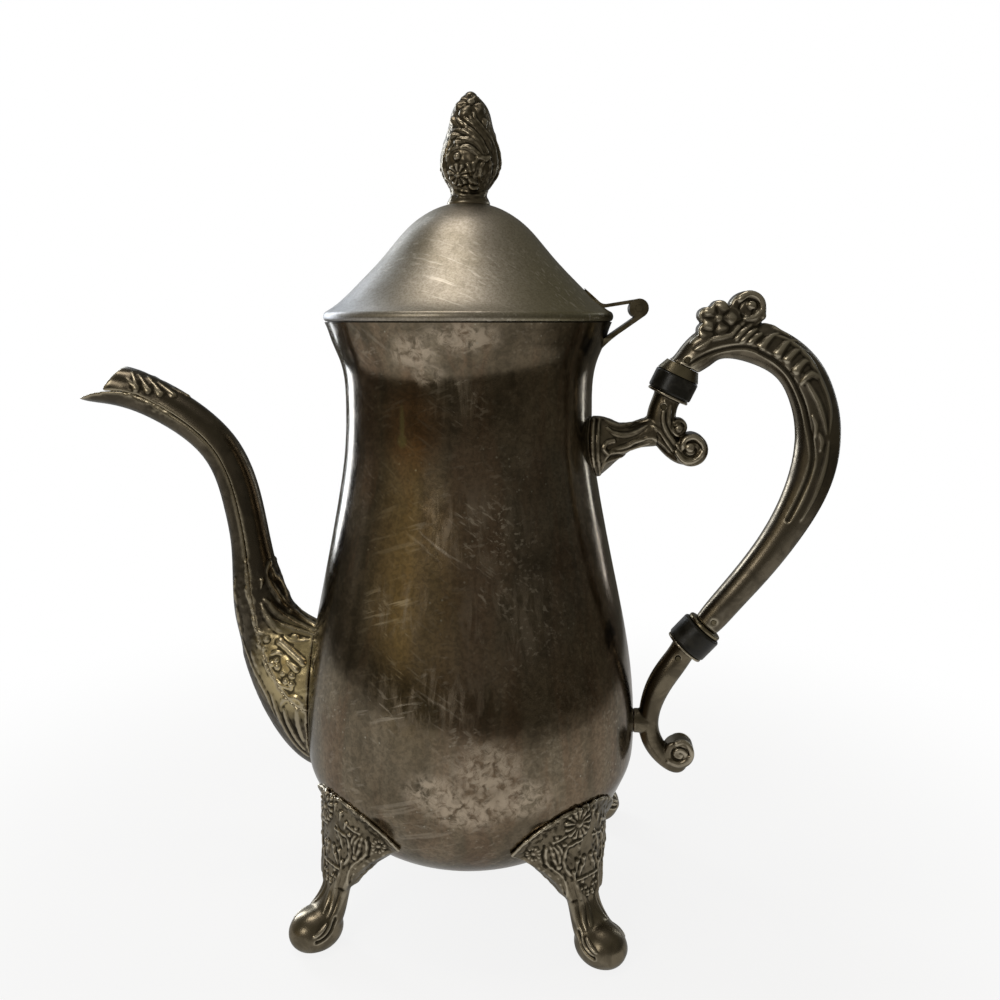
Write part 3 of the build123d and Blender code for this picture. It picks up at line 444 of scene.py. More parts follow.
def blend_colours(tree, share, first, second):
    node = put(tree, "ShaderNodeMix", {"data_type": "RGBA"})
    for index, value in ((0, share), (6, first), (7, second)):
        if isinstance(value, bpy.types.NodeSocket):
            tree.links.new(value, node.inputs[index])
        else:
            node.inputs[index].default_value = value if index == 0 else rgba(value)
    return node.outputs[2]


def reckon(tree, operation, first, second=0.5, third=0.5):
    return put(tree, "ShaderNodeMath", {"operation": operation}, {0: first, 1: second, 2: third}).outputs[0]


def vectors(tree, operation, first, second=(0.0, 0.0, 0.0)):
    node = put(tree, "ShaderNodeVectorMath", {"operation": operation}, {0: first, 1: second})
    return node.outputs["Value" if operation == "LENGTH" else "Vector"]


def grain(tree, place, scale, detail=2.0, roughness=0.5, distortion=0.0):
    sockets = {"Scale": scale, "Detail": detail, "Roughness": roughness, "Distortion": distortion}
    return put(tree, "ShaderNodeTexNoise", None, {"Vector": place, **sockets}).outputs[0]


def emit(tree, colour, strength):
    return put(tree, "ShaderNodeEmission", None, {"Color": rgba(colour), "Strength": strength}).outputs[0]


def mix_shaders(tree, share, first, second):
    return put(tree, "ShaderNodeMixShader", None, {0: share, 1: first, 2: second}).outputs[0]


# The room round the pot, by direction: 0 and 1 are the spout's side, 0.25 the front, 0.5 the handle's side
room_bands = (
    (0.0, (0.20, 0.19, 0.16)),
    (0.06, (0.25, 0.21, 0.14)),
    (0.135, (0.42, 0.36, 0.24)),
    (0.16, (0.22, 0.20, 0.17)),
    (0.25, (0.20, 0.185, 0.16)),
    (0.31, (0.20, 0.185, 0.16)),
    (0.37, (0.15, 0.14, 0.12)),
    (0.50, (0.09, 0.088, 0.075)),
    (0.61, (0.17, 0.17, 0.165)),
    (0.72, (0.16, 0.16, 0.165)),
    (0.80, (0.48, 0.50, 0.53)),
    (0.87, (0.85, 0.85, 0.83)),
    (0.92, (0.66, 0.62, 0.56)),
    (0.955, (0.30, 0.28, 0.25)),
)
room_upper = (0.17, 0.16, 0.13)
room_ceiling = (0.30, 0.285, 0.26)
pure_white = (1.0, 1.0, 1.0)
# Heights of the direction, 1 being straight up, between which the walls pass into the upper room and the
# upper room into the ceiling
upper_fade = (0.2, 0.6)
ceiling_fade = (0.8, 0.97)


def make_world():
    world = bpy.data.worlds.new("studio")
    bpy.context.scene.world = world
    world.use_nodes = True
    tree = world.node_tree
    tree.nodes.clear()
    way = put(tree, "ShaderNodeTexCoord").outputs["Generated"]
    turn = put(tree, "ShaderNodeTexGradient", {"gradient_type": "RADIAL"}, {"Vector": way}).outputs[1]
    walls = ramp(tree, turn, room_bands)
    height = put(tree, "ShaderNodeSeparateXYZ", None, {0: way}).outputs["Z"]
    colour = blend_colours(tree, between(tree, height, *upper_fade), walls, room_upper)
    colour = blend_colours(tree, between(tree, height, *ceiling_fade), colour, room_ceiling)
    room = put(tree, "ShaderNodeBackground", None, {"Color": colour, "Strength": 1.0}).outputs[0]
    seen = put(tree, "ShaderNodeBackground", None, {"Color": rgba(pure_white), "Strength": 1.0}).outputs[0]
    camera_ray = put(tree, "ShaderNodeLightPath").outputs["Is Camera Ray"]
    put(tree, "ShaderNodeOutputWorld", None, {"Surface": mix_shaders(tree, camera_ray, room, seen)})


# The floor is white to the camera. In reflections it is a pale table, which reaches further to the spout's
# side and ends in the dark. Each fade is its inner and outer radius in metres and the shares at the two.
floor_side = 12.0
floor_grey = (0.82, 0.81, 0.79)
table_colour = (0.80, 0.78, 0.75)
table_glow = 0.8
table_dark = (0.10, 0.09, 0.07)
table_shift = (0.13, 0.0, 0.0)
table_fade = (0.28, 0.5, 0.80, 0.30)
table_edge = (0.43, 0.51, 0.0, 1.0)
shadow_fade = (0.12, 0.35, 0.86, 1.0)


def make_floor():
    deselect()
    bpy.ops.mesh.primitive_plane_add(size=floor_side, location=(0.0, 0.0, 0.0))
    floor = bpy.context.object
    floor.name = "floor"
    material = bpy.data.materials.new("pale_floor")
    material.use_nodes = True
    tree = material.node_tree
    tree.nodes.clear()
    plain = put(tree, "ShaderNodeBsdfDiffuse", None, {"Color": rgba(floor_grey)}).outputs[0]
    place = put(tree, "ShaderNodeTexCoord").outputs["Object"]
    spread = vectors(tree, "LENGTH", vectors(tree, "ADD", place, table_shift))
    pale = emit(tree, table_colour, table_glow)
    lit = mix_shaders(tree, between(tree, spread, *table_fade), plain, pale)
    table_top = mix_shaders(tree, between(tree, spread, *table_edge), lit, emit(tree, table_dark, 1.0))
    faint = between(tree, vectors(tree, "LENGTH", place), *shadow_fade)
    seen = mix_shaders(tree, faint, plain, emit(tree, pure_white, 1.0))
    camera_ray = put(tree, "ShaderNodeLightPath").outputs["Is Camera Ray"]
    surface = mix_shaders(tree, camera_ray, table_top, seen)
    put(tree, "ShaderNodeOutputMaterial", None, {"Surface": surface})
    floor.data.materials.append(material)


def node_group(name, inputs, outputs):
    # Inputs and outputs are names and socket types
    group = bpy.data.node_groups.new(name, "ShaderNodeTree")
    for way, sockets in (("INPUT", inputs), ("OUTPUT", outputs)):
        for title, kind in sockets.items():
            group.interface.new_socket(title, in_out=way, socket_type=kind)
    return group, group.nodes.new("NodeGroupInput").outputs, group.nodes.new("NodeGroupOutput").inputs


VALUE = "NodeSocketFloat"
VECTOR = "NodeSocketVector"

# Inside the groups: a pattern's detail, roughness and distortion, after its scale where the group sets it,
# and the values between which it sets in
cloud_pattern = (7.0, 0.62, 0.6)
scratch_pattern = (3.0, 0.6)
scratch_ends = (0.56, 0.66)
scratch_length = (0.05, 1.0, 1.0)
scratch_patches = (45.0, 3.0)
scratch_patch_ends = (0.42, 0.58)
speck_patches = (70.0, 2.0)
speck_patch_ends = (0.55, 0.66)
wear_pattern = (260.0, 4.0)
wear_shift = (0.5, -0.25)
hollow_ends = (-0.1, -0.8)
proud_ends = (0.25, 1.0)


def make_clouds_group():
    # Soft uneven tarnish, from 0 where it is thin to 1 where it is thick
    inputs = {"Place": VECTOR, "Scale": VALUE, "Low": VALUE, "High": VALUE}
    group, given, out = node_group("tarnish_clouds", inputs, {"Mask": VALUE})
    uneven = grain(group, given["Place"], given["Scale"], *cloud_pattern)
    group.links.new(between(group, uneven, given["Low"], given["High"]), out["Mask"])
    return group


def make_scratch_group():
    # Fine short scratches along the X axis of the place that it is given
    inputs = {"Place": VECTOR, "Scale": VALUE, "Amount": VALUE}
    group, given, out = node_group("fine_scratches", inputs, {"Mask": VALUE})
    drawn = stretch(group, given["Place"], scratch_length)
    lines = between(group, grain(group, drawn, given["Scale"], *scratch_pattern), *scratch_ends)
    worn = between(group, grain(group, given["Place"], *scratch_patches), *scratch_patch_ends)
    mask = reckon(group, "MULTIPLY", reckon(group, "MULTIPLY", lines, worn), given["Amount"])
    group.links.new(mask, out["Mask"])
    return group


def make_speckle_group():
    # Small pale specks and pits, scattered
    inputs = {"Place": VECTOR, "Scale": VALUE, "Size": VALUE}
    group, given, out = node_group("speckle", inputs, {"Mask": VALUE})
    cells = put(group, "ShaderNodeTexVoronoi", None, {"Vector": given["Place"], "Scale": given["Scale"]})
    near = reckon(group, "LESS_THAN", cells.outputs["Distance"], given["Size"])
    there = between(group, grain(group, given["Place"], *speck_patches), *speck_patch_ends)
    group.links.new(reckon(group, "MULTIPLY", near, there), out["Mask"])
    return group


def make_relief_group():
    # What lies deep in a casting and what stands proud, from the relief kept on the mesh
    inputs = {"Relief": VALUE, "Place": VECTOR}
    group, given, out = node_group("relief_wear", inputs, {"Hollow": VALUE, "Edge": VALUE})
    shift = reckon(group, "MULTIPLY_ADD", grain(group, given["Place"], *wear_pattern), *wear_shift)
    level = reckon(group, "ADD", given["Relief"], shift)
    group.links.new(between(group, level, *hollow_ends), out["Hollow"])
    group.links.new(between(group, level, *proud_ends), out["Edge"])
    return group


groups = {}


def use_group(tree, name, sockets):
    return put(tree, "ShaderNodeGroup", {"node_tree": groups[name]}, sockets)


def start_material(name):
    material = bpy.data.materials.new(name)
    material.use_nodes = True
    tree = material.node_tree
    shader = tree.nodes["Principled BSDF"]
    place = put(tree, "ShaderNodeTexCoord").outputs["Object"]
    centred = put(tree, "ShaderNodeMapping", None, {"Vector": place, "Location": tuple(-pot_axis)})
    return material, tree, shader, centred.outputs[0]


# Colour of the plate seen at a grazing angle
edge_tint = (0.72, 0.74, 0.76)


def finish_material(tree, shader, colour, roughness, height, strength, distance):
    shader.inputs["Metallic"].default_value = 1.0
    shader.inputs["Specular Tint"].default_value = rgba(edge_tint)
    tree.links.new(colour, shader.inputs["Base Color"])
    tree.links.new(roughness, shader.inputs["Roughness"])
    bump = put(tree, "ShaderNodeBump", None, {"Strength": strength, "Distance": distance, "Height": height})
    tree.links.new(bump.outputs[0], shader.inputs["Normal"])


def stretch(tree, place, scale=(1.0, 1.0, 1.0), turn=(0.0, 0.0, 0.0)):
    sockets = {"Vector": place, "Scale": scale, "Rotation": turn}
    return put(tree, "ShaderNodeMapping", None, sockets).outputs[0]


# Parts of a spot's half size at which it ends and at which it is full
spot_fade = (1.0, 0.3)


def spot(tree, place, centre, size):
    # 1 round the centre of a spot, fading to 0 at its edge
    away = vectors(tree, "SUBTRACT", place, centre)
    scaled = vectors(tree, "MULTIPLY", away, tuple(1.0 / side for side in size))
    return between(tree, vectors(tree, "LENGTH", scaled), *spot_fade)


def spots(tree, place, find, table):
    # All the spots of a table of marks on the body's wall, in one mask
    mask = None
    for pixel, size in table.values():
        here = spot(tree, place, find(pixel), size)
        mask = here if mask is None else reckon(tree, "MAXIMUM", mask, here)
    return mask


def clouds(tree, place, scale, low, high):
    sockets = {"Place": place, "Scale": scale, "Low": low, "High": high}
    return use_group(tree, "tarnish_clouds", sockets).outputs[0]


def overlay(tree, colour, masks, layers):
    # Each layer's colour over what is there, as strongly as its share where its mask is
    for name, (share, added) in layers.items():
        colour = blend_colours(tree, reckon(tree, "MULTIPLY", masks[name], share), colour, added)
    return colour


def add_up(tree, value, masks, shares):
    # The value with each mask added to it, as strongly as its share
    for name, share in shares.items():
        value = reckon(tree, "ADD", value, reckon(tree, "MULTIPLY", masks[name], share))
    return value


# The sight line of a point of the picture, and where it meets a piece
view_turn = camera_forward.to_track_quat("-Z", "Y")
view_right = view_turn @ Vector((1.0, 0.0, 0.0))
view_up = view_turn @ Vector((0.0, 1.0, 0.0))
view_ahead = camera_forward.normalized()
view_focus = camera_lens / camera_sensor * picture_side
view_origin = pot_axis + camera_offset


def sight_line(across, down):
    side = (across - picture_side / 2) / view_focus
    drop = (down - picture_side / 2) / view_focus
    return (view_ahead + view_right * side - view_up * drop).normalized()


def land(tree, middle, across, down):
    # The point and normal where the sight line meets the surface, or else passes nearest to it
    line = sight_line(across, down)
    place, normal, _, _ = tree.ray_cast(view_origin, line)
    if place is None:
        passing = view_origin + line * (middle - view_origin).dot(line)
        place, normal, _, _ = tree.find_nearest(passing)
    return place, normal


def surface_tree(data):
    corners = [vertex.co for vertex in data.vertices]
    return BVHTree.FromPolygons(corners, [tuple(face.vertices) for face in data.polygons])


def in_picture(view, point):
    left, top, scale = view
    return left + point[0] / scale, top + point[1] / scale


def smooth_line(points):
    # A curve through all the points
    if len(points) < 3:
        return list(points)
    ends = [points[0]] + list(points) + [points[-1]]
    line = []
    for first, second, third, fourth in zip(ends, ends[1:], ends[2:], ends[3:]):
        for step in range(curve_steps):
            t = step / curve_steps
            line.append(tuple(
                0.5 * (2 * b + (c - a) * t
                       + (2 * a - 5 * b + 4 * c - d) * t * t + (3 * b - a - 3 * c + d) * t**3)
                for a, b, c, d in zip(first, second, third, fourth)
            ))
    line.append(points[-1])
    return line


def line_shape(kind, share):
    # Width along a line, as a part of its greatest one
    if kind == "lens":
        return np.maximum(np.sin(math.pi * share), 0.0) ** lens_power * (1.0 - lens_end) + lens_end
    if kind == "drop":
        return 1.0 - drop_taper * share
    return np.ones_like(share)


def to_local(points, turn, origin):
    # The middle plane of the piece becomes the plane y = 0
    cosine = math.cos(math.radians(turn))
    sine = math.sin(math.radians(turn))
    x = points[:, 0] - origin
    y = points[:, 1]
    return np.stack([cosine * x + sine * y, cosine * y - sine * x, points[:, 2]], axis=1)


def fold(points, sides, repeat):
    # One half laid on the other, by the mirror or by half a turn
    folded = points.copy()
    folded[:, 1] *= sides
    if repeat == "half_turn":
        folded[:, 0] *= sides
    return folded


def read_vertices(data, what):
    values = np.empty(len(data.vertices) * 3)
    data.vertices.foreach_get(what, values)
    return values.reshape(-1, 3)


def write_places(data, places):
    data.vertices.foreach_set("co", places.ravel())
    data.update()


def petal_line(tree, place, across, along, angle, reaches):
    way = across * math.cos(angle) + along * math.sin(angle)
    return [tree.find_nearest(place + way * reach * MM)[:2] for reach in reaches]


def lay_sheet(tree, middle, view, lines, flowers):
    # Every line and flower of a sheet on the surface: kind, height, half width, and its places and normals
    laid = []
    for kind, height, width, points in lines:
        trail = [land(tree, middle, *in_picture(view, point)) for point in smooth_line(points)]
        laid.append((kind, height, width, trail))
    for centre, inner, outer, petals, height, boss in flowers:
        place, normal = land(tree, middle, *in_picture(view, centre))
        across = normal.cross(Vector((0.0, 0.0, 1.0))).normalized()
        along = normal.cross(across)
        laid.append(("dot", height, boss, [(place, normal)]))
        for step in range(petals):
            angle = 2 * math.pi * (step + 0.5) / petals
            trail = petal_line(tree, place, across, along, angle, (outer, (inner + outer) / 2, inner))
            laid.append(("drop", height, math.pi * outer / petals * petal_share, trail))
    return laid


def ornament_strokes(data, casting, sheets):
    # Every line of ornament laid on the surface, in the folded half of the piece
    tree = surface_tree(data)
    places = read_vertices(data, "co")
    middle = Vector((places.min(axis=0) + places.max(axis=0)) / 2)
    strokes = []
    for view, lines, flowers, spread in sheets:
        for kind, height, width, trail in lay_sheet(tree, middle, view, lines, flowers):
            line = to_local(np.array([place for place, _ in trail]), casting.turn, pot_axis.x)
            facing = to_local(np.array([normal for _, normal in trail]), casting.turn, 0.0)
            sides = np.where(line[:, 1] > 0, -1.0, 1.0) if spread == "all" else np.ones(len(line))
            shape = line_shape(kind, np.linspace(0.0, 1.0, len(line)))
            size = width * casting.breadth * MM * shape
            rise = height * casting.rise * MM * shape
            if kind == "groove":
                rise = -rise
            line, facing = fold(line, sides, casting.repeat), fold(facing, sides, casting.repeat)
            strokes.append((kind, line, facing, size, rise, spread))
    return strokes


def stroke_lift(stroke, places, normals):
    # How far one line of ornament moves each vertex near it, and which vertices these are
    kind, line, facing, size, rise, _ = stroke
    reach = size.max()
    near = np.all((places > line.min(axis=0) - reach) & (places < line.max(axis=0) + reach), axis=1)
    index = np.nonzero(near)[0]
    if len(index) == 0:
        return index, np.zeros(0)
    points = places[index]
    best = np.zeros(len(index))
    if len(line) == 1:
        line, facing = np.repeat(line, 2, axis=0), np.repeat(facing, 2, axis=0)
        size, rise = np.repeat(size, 2), np.repeat(rise, 2)
    for start in range(len(line) - 1):
        begin = line[start]
        step = line[start + 1] - begin
        square = max(float(step @ step), tiny_square)
        share = np.clip((points - begin) @ step / square, 0.0, 1.0)
        away = np.linalg.norm(points - begin - share[:, None] * step, axis=1)
        width = size[start] + share * (size[start + 1] - size[start])
        high = rise[start] + share * (rise[start + 1] - rise[start])
        inside = np.clip(1.0 - (away / width) ** 2, 0.0, 1.0)
        profile = np.sqrt(inside) if kind == "dot" else inside
        toward = np.clip((normals[index] @ facing[start] - facing_least) / facing_span, 0.0, 1.0)
        lift = high * profile * toward
        best = np.where(np.abs(lift) > np.abs(best), lift, best)
    return index, best


def carve(piece, casting, sheets):
    # Raises and sinks the skin by its lines, and adds small lumps between them
    data = piece.data
    places = read_vertices(data, "co")
    normals = read_vertices(data, "normal")
    flat = (to_local(places, casting.turn, pot_axis.x), to_local(normals, casting.turn, 0.0))
    sides = np.where(flat[0][:, 1] > 0, -1.0, 1.0)
    folded = tuple(fold(values, sides, casting.repeat) for values in flat)
    raised = np.zeros(len(places))
    sunk = np.zeros(len(places))
    covered = np.zeros(len(places))
    for stroke in ornament_strokes(data, casting, sheets):
        index, lift = stroke_lift(stroke, *(folded if stroke[-1] == "all" else flat))
        raised[index] = np.maximum(raised[index], lift)
        sunk[index] = np.minimum(sunk[index], lift)
        covered[index] = 1.0
    lift = raised + sunk
    if casting.lumps > 0.0:
        ends, links = edge_ends(data)
        covered = relax(covered[:, None], ends, links, lump_spread_passes, smoothing_share)[:, 0]
        bumps = np.array([noise.noise(Vector(point) * lump_scale) for point in folded[0]])
        if piece.name.startswith(carved_foot):
            bumps *= np.interp(places[:, 2] / MM, lump_heights, (0.0, 1.0))
        lift += casting.lumps * MM * bumps * covered
    places += normals * lift[:, None]
    places = np.clip(places, np.array(cad_low), np.array(cad_high))
    write_places(data, places)


def relax(values, ends, links, times, share):
    # Each vertex moves towards the middle of its neighbours
    count = len(values)
    weight = np.maximum(links, 1)[:, None]
    for _ in range(times):
        total = np.stack([
            np.bincount(ends[:, 0], weights=values[ends[:, 1], axis], minlength=count)
            + np.bincount(ends[:, 1], weights=values[ends[:, 0], axis], minlength=count)
            for axis in range(values.shape[1])
        ], axis=1)
        values = values + share * (total / weight - values)
    return values


def edge_ends(data):
    ends = np.empty(len(data.edges) * 2, dtype=np.int32)
    data.edges.foreach_get("vertices", ends)
    ends = ends.reshape(-1, 2)
    return ends, np.bincount(ends.ravel(), minlength=len(data.vertices))


def soften(piece, times, band=None):
    # Smooths the whole piece, or only a band of heights in millimetres
    data = piece.data
    ends, links = edge_ends(data)
    places = read_vertices(data, "co")
    share = smoothing_share
    if band is not None:
        share = smoothing_share * np.interp(places[:, 2] / MM, band, (0.0, 1.0, 1.0, 0.0))[:, None]
    places = relax(places, ends, links, times, share)
    write_places(data, places)


def mark_relief(piece):
    # Keeps on each vertex how far it stands out of its surroundings, from -1 to 1
    data = piece.data
    ends, links = edge_ends(data)
    places = read_vertices(data, "co")
    normals = read_vertices(data, "normal")
    smooth = relax(places, ends, links, relief_passes, relief_share)
    stands = ((places - smooth) * normals).sum(axis=1) / (relief_depth * MM)
    mark = data.attributes.new("relief", "FLOAT", "POINT")
    mark.data.foreach_set("value", np.clip(stands, -1.0, 1.0).astype(np.float32))


def apron_wing(azimuth):
    # The foot's thin apron, laid on the bowl as far as its real outline reaches
    tree = surface_tree(nodes["body_shell"].data)
    degrees, lowest, highest = zip(*apron_marks)
    outer, inner = [], []
    for station in range(apron_stations):
        side = 2.0 * station / (apron_stations - 1) - 1.0
        away = side * degrees[-1]
        low = np.interp(abs(away), degrees, lowest)
        high = np.interp(abs(away), degrees, highest)
        angle = math.radians(azimuth + away)
        out = Vector((math.cos(angle), math.sin(angle), 0.0))
        for row in range(apron_rows):
            height = low + (high - low) * row / (apron_rows - 1)
            start = pot_axis + out * apron_sight + Vector((0.0, 0.0, height * MM))
            place, normal, _, _ = tree.ray_cast(start, -out)
            outer.append(place + normal * apron_outer * MM)
            inner.append(place + normal * apron_inner * MM)
    count = len(outer)
    faces = []
    for station in range(apron_stations - 1):
        for row in range(apron_rows - 1):
            one = station * apron_rows + row
            two = one + apron_rows
            faces.append((one, two, two + 1, one + 1))
            faces.append((count + one, count + one + 1, count + two + 1, count + two))
    # The rim between the two faces, once round
    border = [station * apron_rows for station in range(apron_stations)]
    border += [(apron_stations - 1) * apron_rows + row for row in range(1, apron_rows)]
    border += [station * apron_rows + apron_rows - 1 for station in range(apron_stations - 2, -1, -1)]
    border += list(range(apron_rows - 2, 0, -1))
    for one, two in zip(border, border[1:] + border[:1]):
        faces.append((two, one, count + one, count + two))
    data = bpy.data.meshes.new("apron_wing")
    data.from_pydata(outer + inner, [], faces)
    wing = bpy.data.objects.new("apron_wing", data)
    bpy.context.scene.collection.objects.link(wing)
    return wing


def cast_copy(name, casting):
    # The node's solid with an even skin, ready for carving
    data = nodes[name].data.copy()
    piece = bpy.data.objects.new(name + "_carved", data)
    bpy.context.scene.collection.objects.link(piece)
    data.materials.clear()
    deselect()
    piece.select_set(True)
    bpy.context.view_layer.objects.active = piece
    bpy.ops.object.mode_set(mode="EDIT")
    bpy.ops.mesh.select_all(action="SELECT")
    bpy.ops.mesh.remove_doubles(threshold=weld_gap * MM)
    bpy.ops.object.mode_set(mode="OBJECT")
    if name == carved_foot:
        wing = apron_wing(casting.turn)
        wing.select_set(True)
        bpy.ops.object.join()
    skin = piece.modifiers.new("even_skin", "REMESH")
    skin.mode = "VOXEL"
    skin.voxel_size = casting.voxel * MM
    skin.use_smooth_shade = True
    bpy.ops.object.modifier_apply(modifier="even_skin")
    return piece


def lean_finial(piece):
    # The finial stands a little off upright on its washer
    washer_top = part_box("finial_washer")[1].z
    data = piece.data
    places = read_vertices(data, "co")
    share = np.clip((places[:, 2] - washer_top) / (finial_lean_span * MM), 0.0, 1.0)
    places[:, 0] += finial_lean * MM * share
    write_places(data, places)


def stand_for(piece, name, body, material):
    piece.data.materials.append(material)
    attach(piece, body)
    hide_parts(name)


def make_castings(materials):
    for name, casting in castings.items():
        piece = cast_copy(name, casting)
        soften(piece, casting.smoothing)
        if name == carved_foot:
            soften(piece, apron_blend_passes, apron_blend)
        if name == "finial":
            lean_finial(piece)
        carve(piece, casting, ornament[name])
        soften(piece, smoothing_after)
        mark_relief(piece)
        if name == carved_foot:
            for other, azimuth in foot_turns.items():
                copy_foot(piece, other, azimuth - casting.turn, materials[casting.slot])
        stand_for(piece, name, casting.body, materials[casting.slot])


def copy_foot(piece, name, turn, material):
    data = piece.data.copy()
    spin = Matrix.Rotation(math.radians(turn), 4, "Z")
    data.transform(Matrix.Translation(pot_axis) @ spin @ Matrix.Translation(-pot_axis))
    copy = bpy.data.objects.new(name + "_carved", data)
    bpy.context.scene.collection.objects.link(copy)
    stand_for(copy, name, "pot", material)


def make_joint_shade_ring(material):
    # A dark ring in the joint under the lid, where there is only shade: painted shade
    around, thick, height = joint_shade_ring
    steps_around, steps_thick = joint_shade_steps
    bpy.ops.mesh.primitive_torus_add(
        major_segments=steps_around, minor_segments=steps_thick,
        major_radius=around * MM, minor_radius=thick * MM,
    )
    ring = bpy.context.active_object
    ring.name = ring.data.name = "lid_joint_grime"
    ring.data.transform(Matrix.Translation(pot_axis + Vector((0.0, 0.0, height * MM))))
    ring.data.materials.append(material)
    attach(ring, "pot")


# Marks on the body's wall, by their place in the picture, and half sizes in metres
# Pale marks: rubbed wear under the rim, and on the bowl rubbed wear with a painted reflection over it
pale_wear_and_reflection_marks = {
    "under_rim": ((412, 352), (0.010, 0.02, 0.007)),
    "under_rim_low": ((428, 376), (0.007, 0.02, 0.005)),
    "under_rim_right": ((460, 338), (0.016, 0.02, 0.006)),
    "bowl_middle": ((488, 770), (0.015, 0.03, 0.012)),
    "bowl_right": ((520, 800), (0.014, 0.03, 0.009)),
    "bowl_left": ((436, 795), (0.014, 0.03, 0.009)),
    "bowl_low": ((470, 812), (0.018, 0.03, 0.009)),
}
scratched_marks = {
    "middle": ((478, 530), (0.024, 0.03, 0.018)),
    "left": ((395, 610), (0.016, 0.03, 0.014)),
    "right": ((510, 620), (0.024, 0.03, 0.020)),
    "low": ((430, 700), (0.030, 0.03, 0.018)),
    "neck": ((455, 400), (0.014, 0.03, 0.010)),
}
drip_marks = {
    "run": ((402, 424), (0.0012, 0.01, 0.008)),
    "bead": ((402, 441), (0.0022, 0.01, 0.003)),
}
# Painted reflection of the warm side of the room: a brassy band down the left of the wall and a red mark on
# its neck
brassy_reflection_marks = {"left": ((415, 600), (0.020, 0.03, 0.060))}
red_reflection_marks = {"neck": ((412, 425), (0.014, 0.03, 0.020))}

# Clouds of tarnish: scale, and the values between which they set in
body_clouds = {
    "thick": (26.0, 0.36, 0.66),
    "streaks": (95.0, 0.42, 0.62),
    "rusty": (60.0, 0.48, 0.60),
    "patches": (120.0, 0.44, 0.6),
    "fine": (700.0, 0.40, 0.62),
    "rubbed": (340.0, 0.36, 0.63),
    "worn": (330.0, 0.44, 0.62),
}
lid_clouds = {"thick": (30.0, 0.35, 0.68), "fine": (320.0, 0.42, 0.66), "grains": (1500.0, 0.40, 0.62)}
cast_clouds = (130.0, 0.38, 0.64)
turned_clouds = (160.0, 0.35, 0.65)
insulator_clouds = (200.0, 0.42, 0.7)

# Colours where the tarnish is thin and where it is thick
body_base = ((0.27, 0.225, 0.16), (0.14, 0.113, 0.076))
lid_base = ((0.50, 0.455, 0.385), (0.38, 0.34, 0.265))
turned_base = ((0.26, 0.225, 0.15), (0.11, 0.092, 0.055))
insulator_base = ((0.012, 0.011, 0.008), (0.034, 0.031, 0.022))
# Share of a casting's colour that is left where its tarnish is thick
cast_duller = 0.62

# Layers over the base, from below: strength and colour
body_layers = {
    "streaks": (0.55, (0.080, 0.066, 0.045)),
    "rusty": (0.45, (0.235, 0.15, 0.095)),
    "patches": (0.3, (0.30, 0.235, 0.16)),
    # Painted reflections of the room down the left of the wall
    "painted_brassy_reflection": (0.42, (0.36, 0.25, 0.10)),
    "painted_red_reflection": (0.7, (0.24, 0.13, 0.055)),
    "fine": (0.38, (0.06, 0.05, 0.035)),
    # Pale: rubbed wear, and on the bowl a painted reflection as well
    "pale": (0.85, (0.62, 0.52, 0.40)),
    "hazy": (0.5, (0.36, 0.30, 0.23)),
    "hair": (0.75, (0.60, 0.53, 0.43)),
    "specks": (0.6, (0.45, 0.42, 0.34)),
    "drip": (0.55, (0.36, 0.34, 0.16)),
}
# On the lid the olive layer is painted shade on the hinge's side, and the cool layer a painted bluish
# reflection on the spout's side
lid_layers = {
    "fine": (0.2, (0.31, 0.27, 0.20)),
    "painted_olive_shade": (0.7, (0.27, 0.245, 0.13)),
    "painted_blue_reflection": (0.6, (0.38, 0.39, 0.42)),
    "grains": (0.42, (0.16, 0.14, 0.10)),
    "scratches": (1.0, (0.72, 0.67, 0.58)),
}
# Strengths of the painted golden light, of the rubbed edges and of the dark hollows on the castings
cast_strengths = {"painted_glow": 0.8, "edge": 0.75, "hollow": 0.88}

# Roughness: what tarnish adds and the least, and what the layers add to it
body_roughness = (0.05, 0.12)
body_roughened = {"pale": 0.25, "hazy": 0.12, "patches": 0.05}
lid_roughness = (0.04, 0.40)
cast_roughness = (0.10, 0.24)
cast_roughened = {"hollow": 0.3}
turned_roughness = (0.15, 0.26)
insulator_roughness = (0.25, 0.3)

# Fine grain of the surface: scale and detail, and then strength and depth in metres of its bumps
body_grain, body_bump = (1500.0, 2.0), (0.25, 0.00006)
lid_grain, lid_bump = (1600.0, 3.0), (0.3, 0.00005)
cast_grain, cast_bump = (900.0, 4.0), (0.2, 0.00008)
turned_grain, turned_bump = (1200.0, 3.0), (0.2, 0.00006)
insulator_grain, insulator_bump = (1400.0, 2.0), (0.15, 0.00006)

# On the body some clouds and the grain are drawn out down the wall
drawn_clouds = (1.0, 1.0, 0.10)
drawn_grain = (1.0, 1.0, 0.15)

# Scratches: turn in radians, scale and strength. On the body they show by the second share everywhere, and
# by both in the scratched marks.
level_scratches = ((0.0, 0.35, 0.3), 560.0, 1.0)
steep_scratches = ((0.0, -0.6, 0.2), 700.0, 0.8)
lid_scratches = ((0.0, -0.3, 0.4), 900.0, 0.5)
scratch_shares = (0.8, 0.25)
body_speckle = {"Scale": 420.0, "Size": 0.14}

# Height of the body's bumps: from its grain, and from the layers
body_grain_height = 0.35
body_heights = {"hair": 0.5, "pale": 0.5}

# Reach in metres of the lid's painted olive shade by the hinge and of its painted bluish reflection by the
# spout
lid_shaded_side = (0.004, 0.036)
lid_reflected_side = (-0.012, -0.044)


def body_points():
    # Finds the place on the body's wall, from the pot's axis, that lies at a point of the picture
    tree = surface_tree(nodes["body_shell"].data)
    middle = pot_axis + body_middle

    def find(pixel):
        place, _ = land(tree, middle, *pixel)
        return tuple(place - pot_axis)

    return find


def turned_scratches(tree, place, turn, scale, amount):
    sockets = {"Place": stretch(tree, place, turn=turn), "Scale": scale, "Amount": amount}
    return use_group(tree, "fine_scratches", sockets).outputs[0]


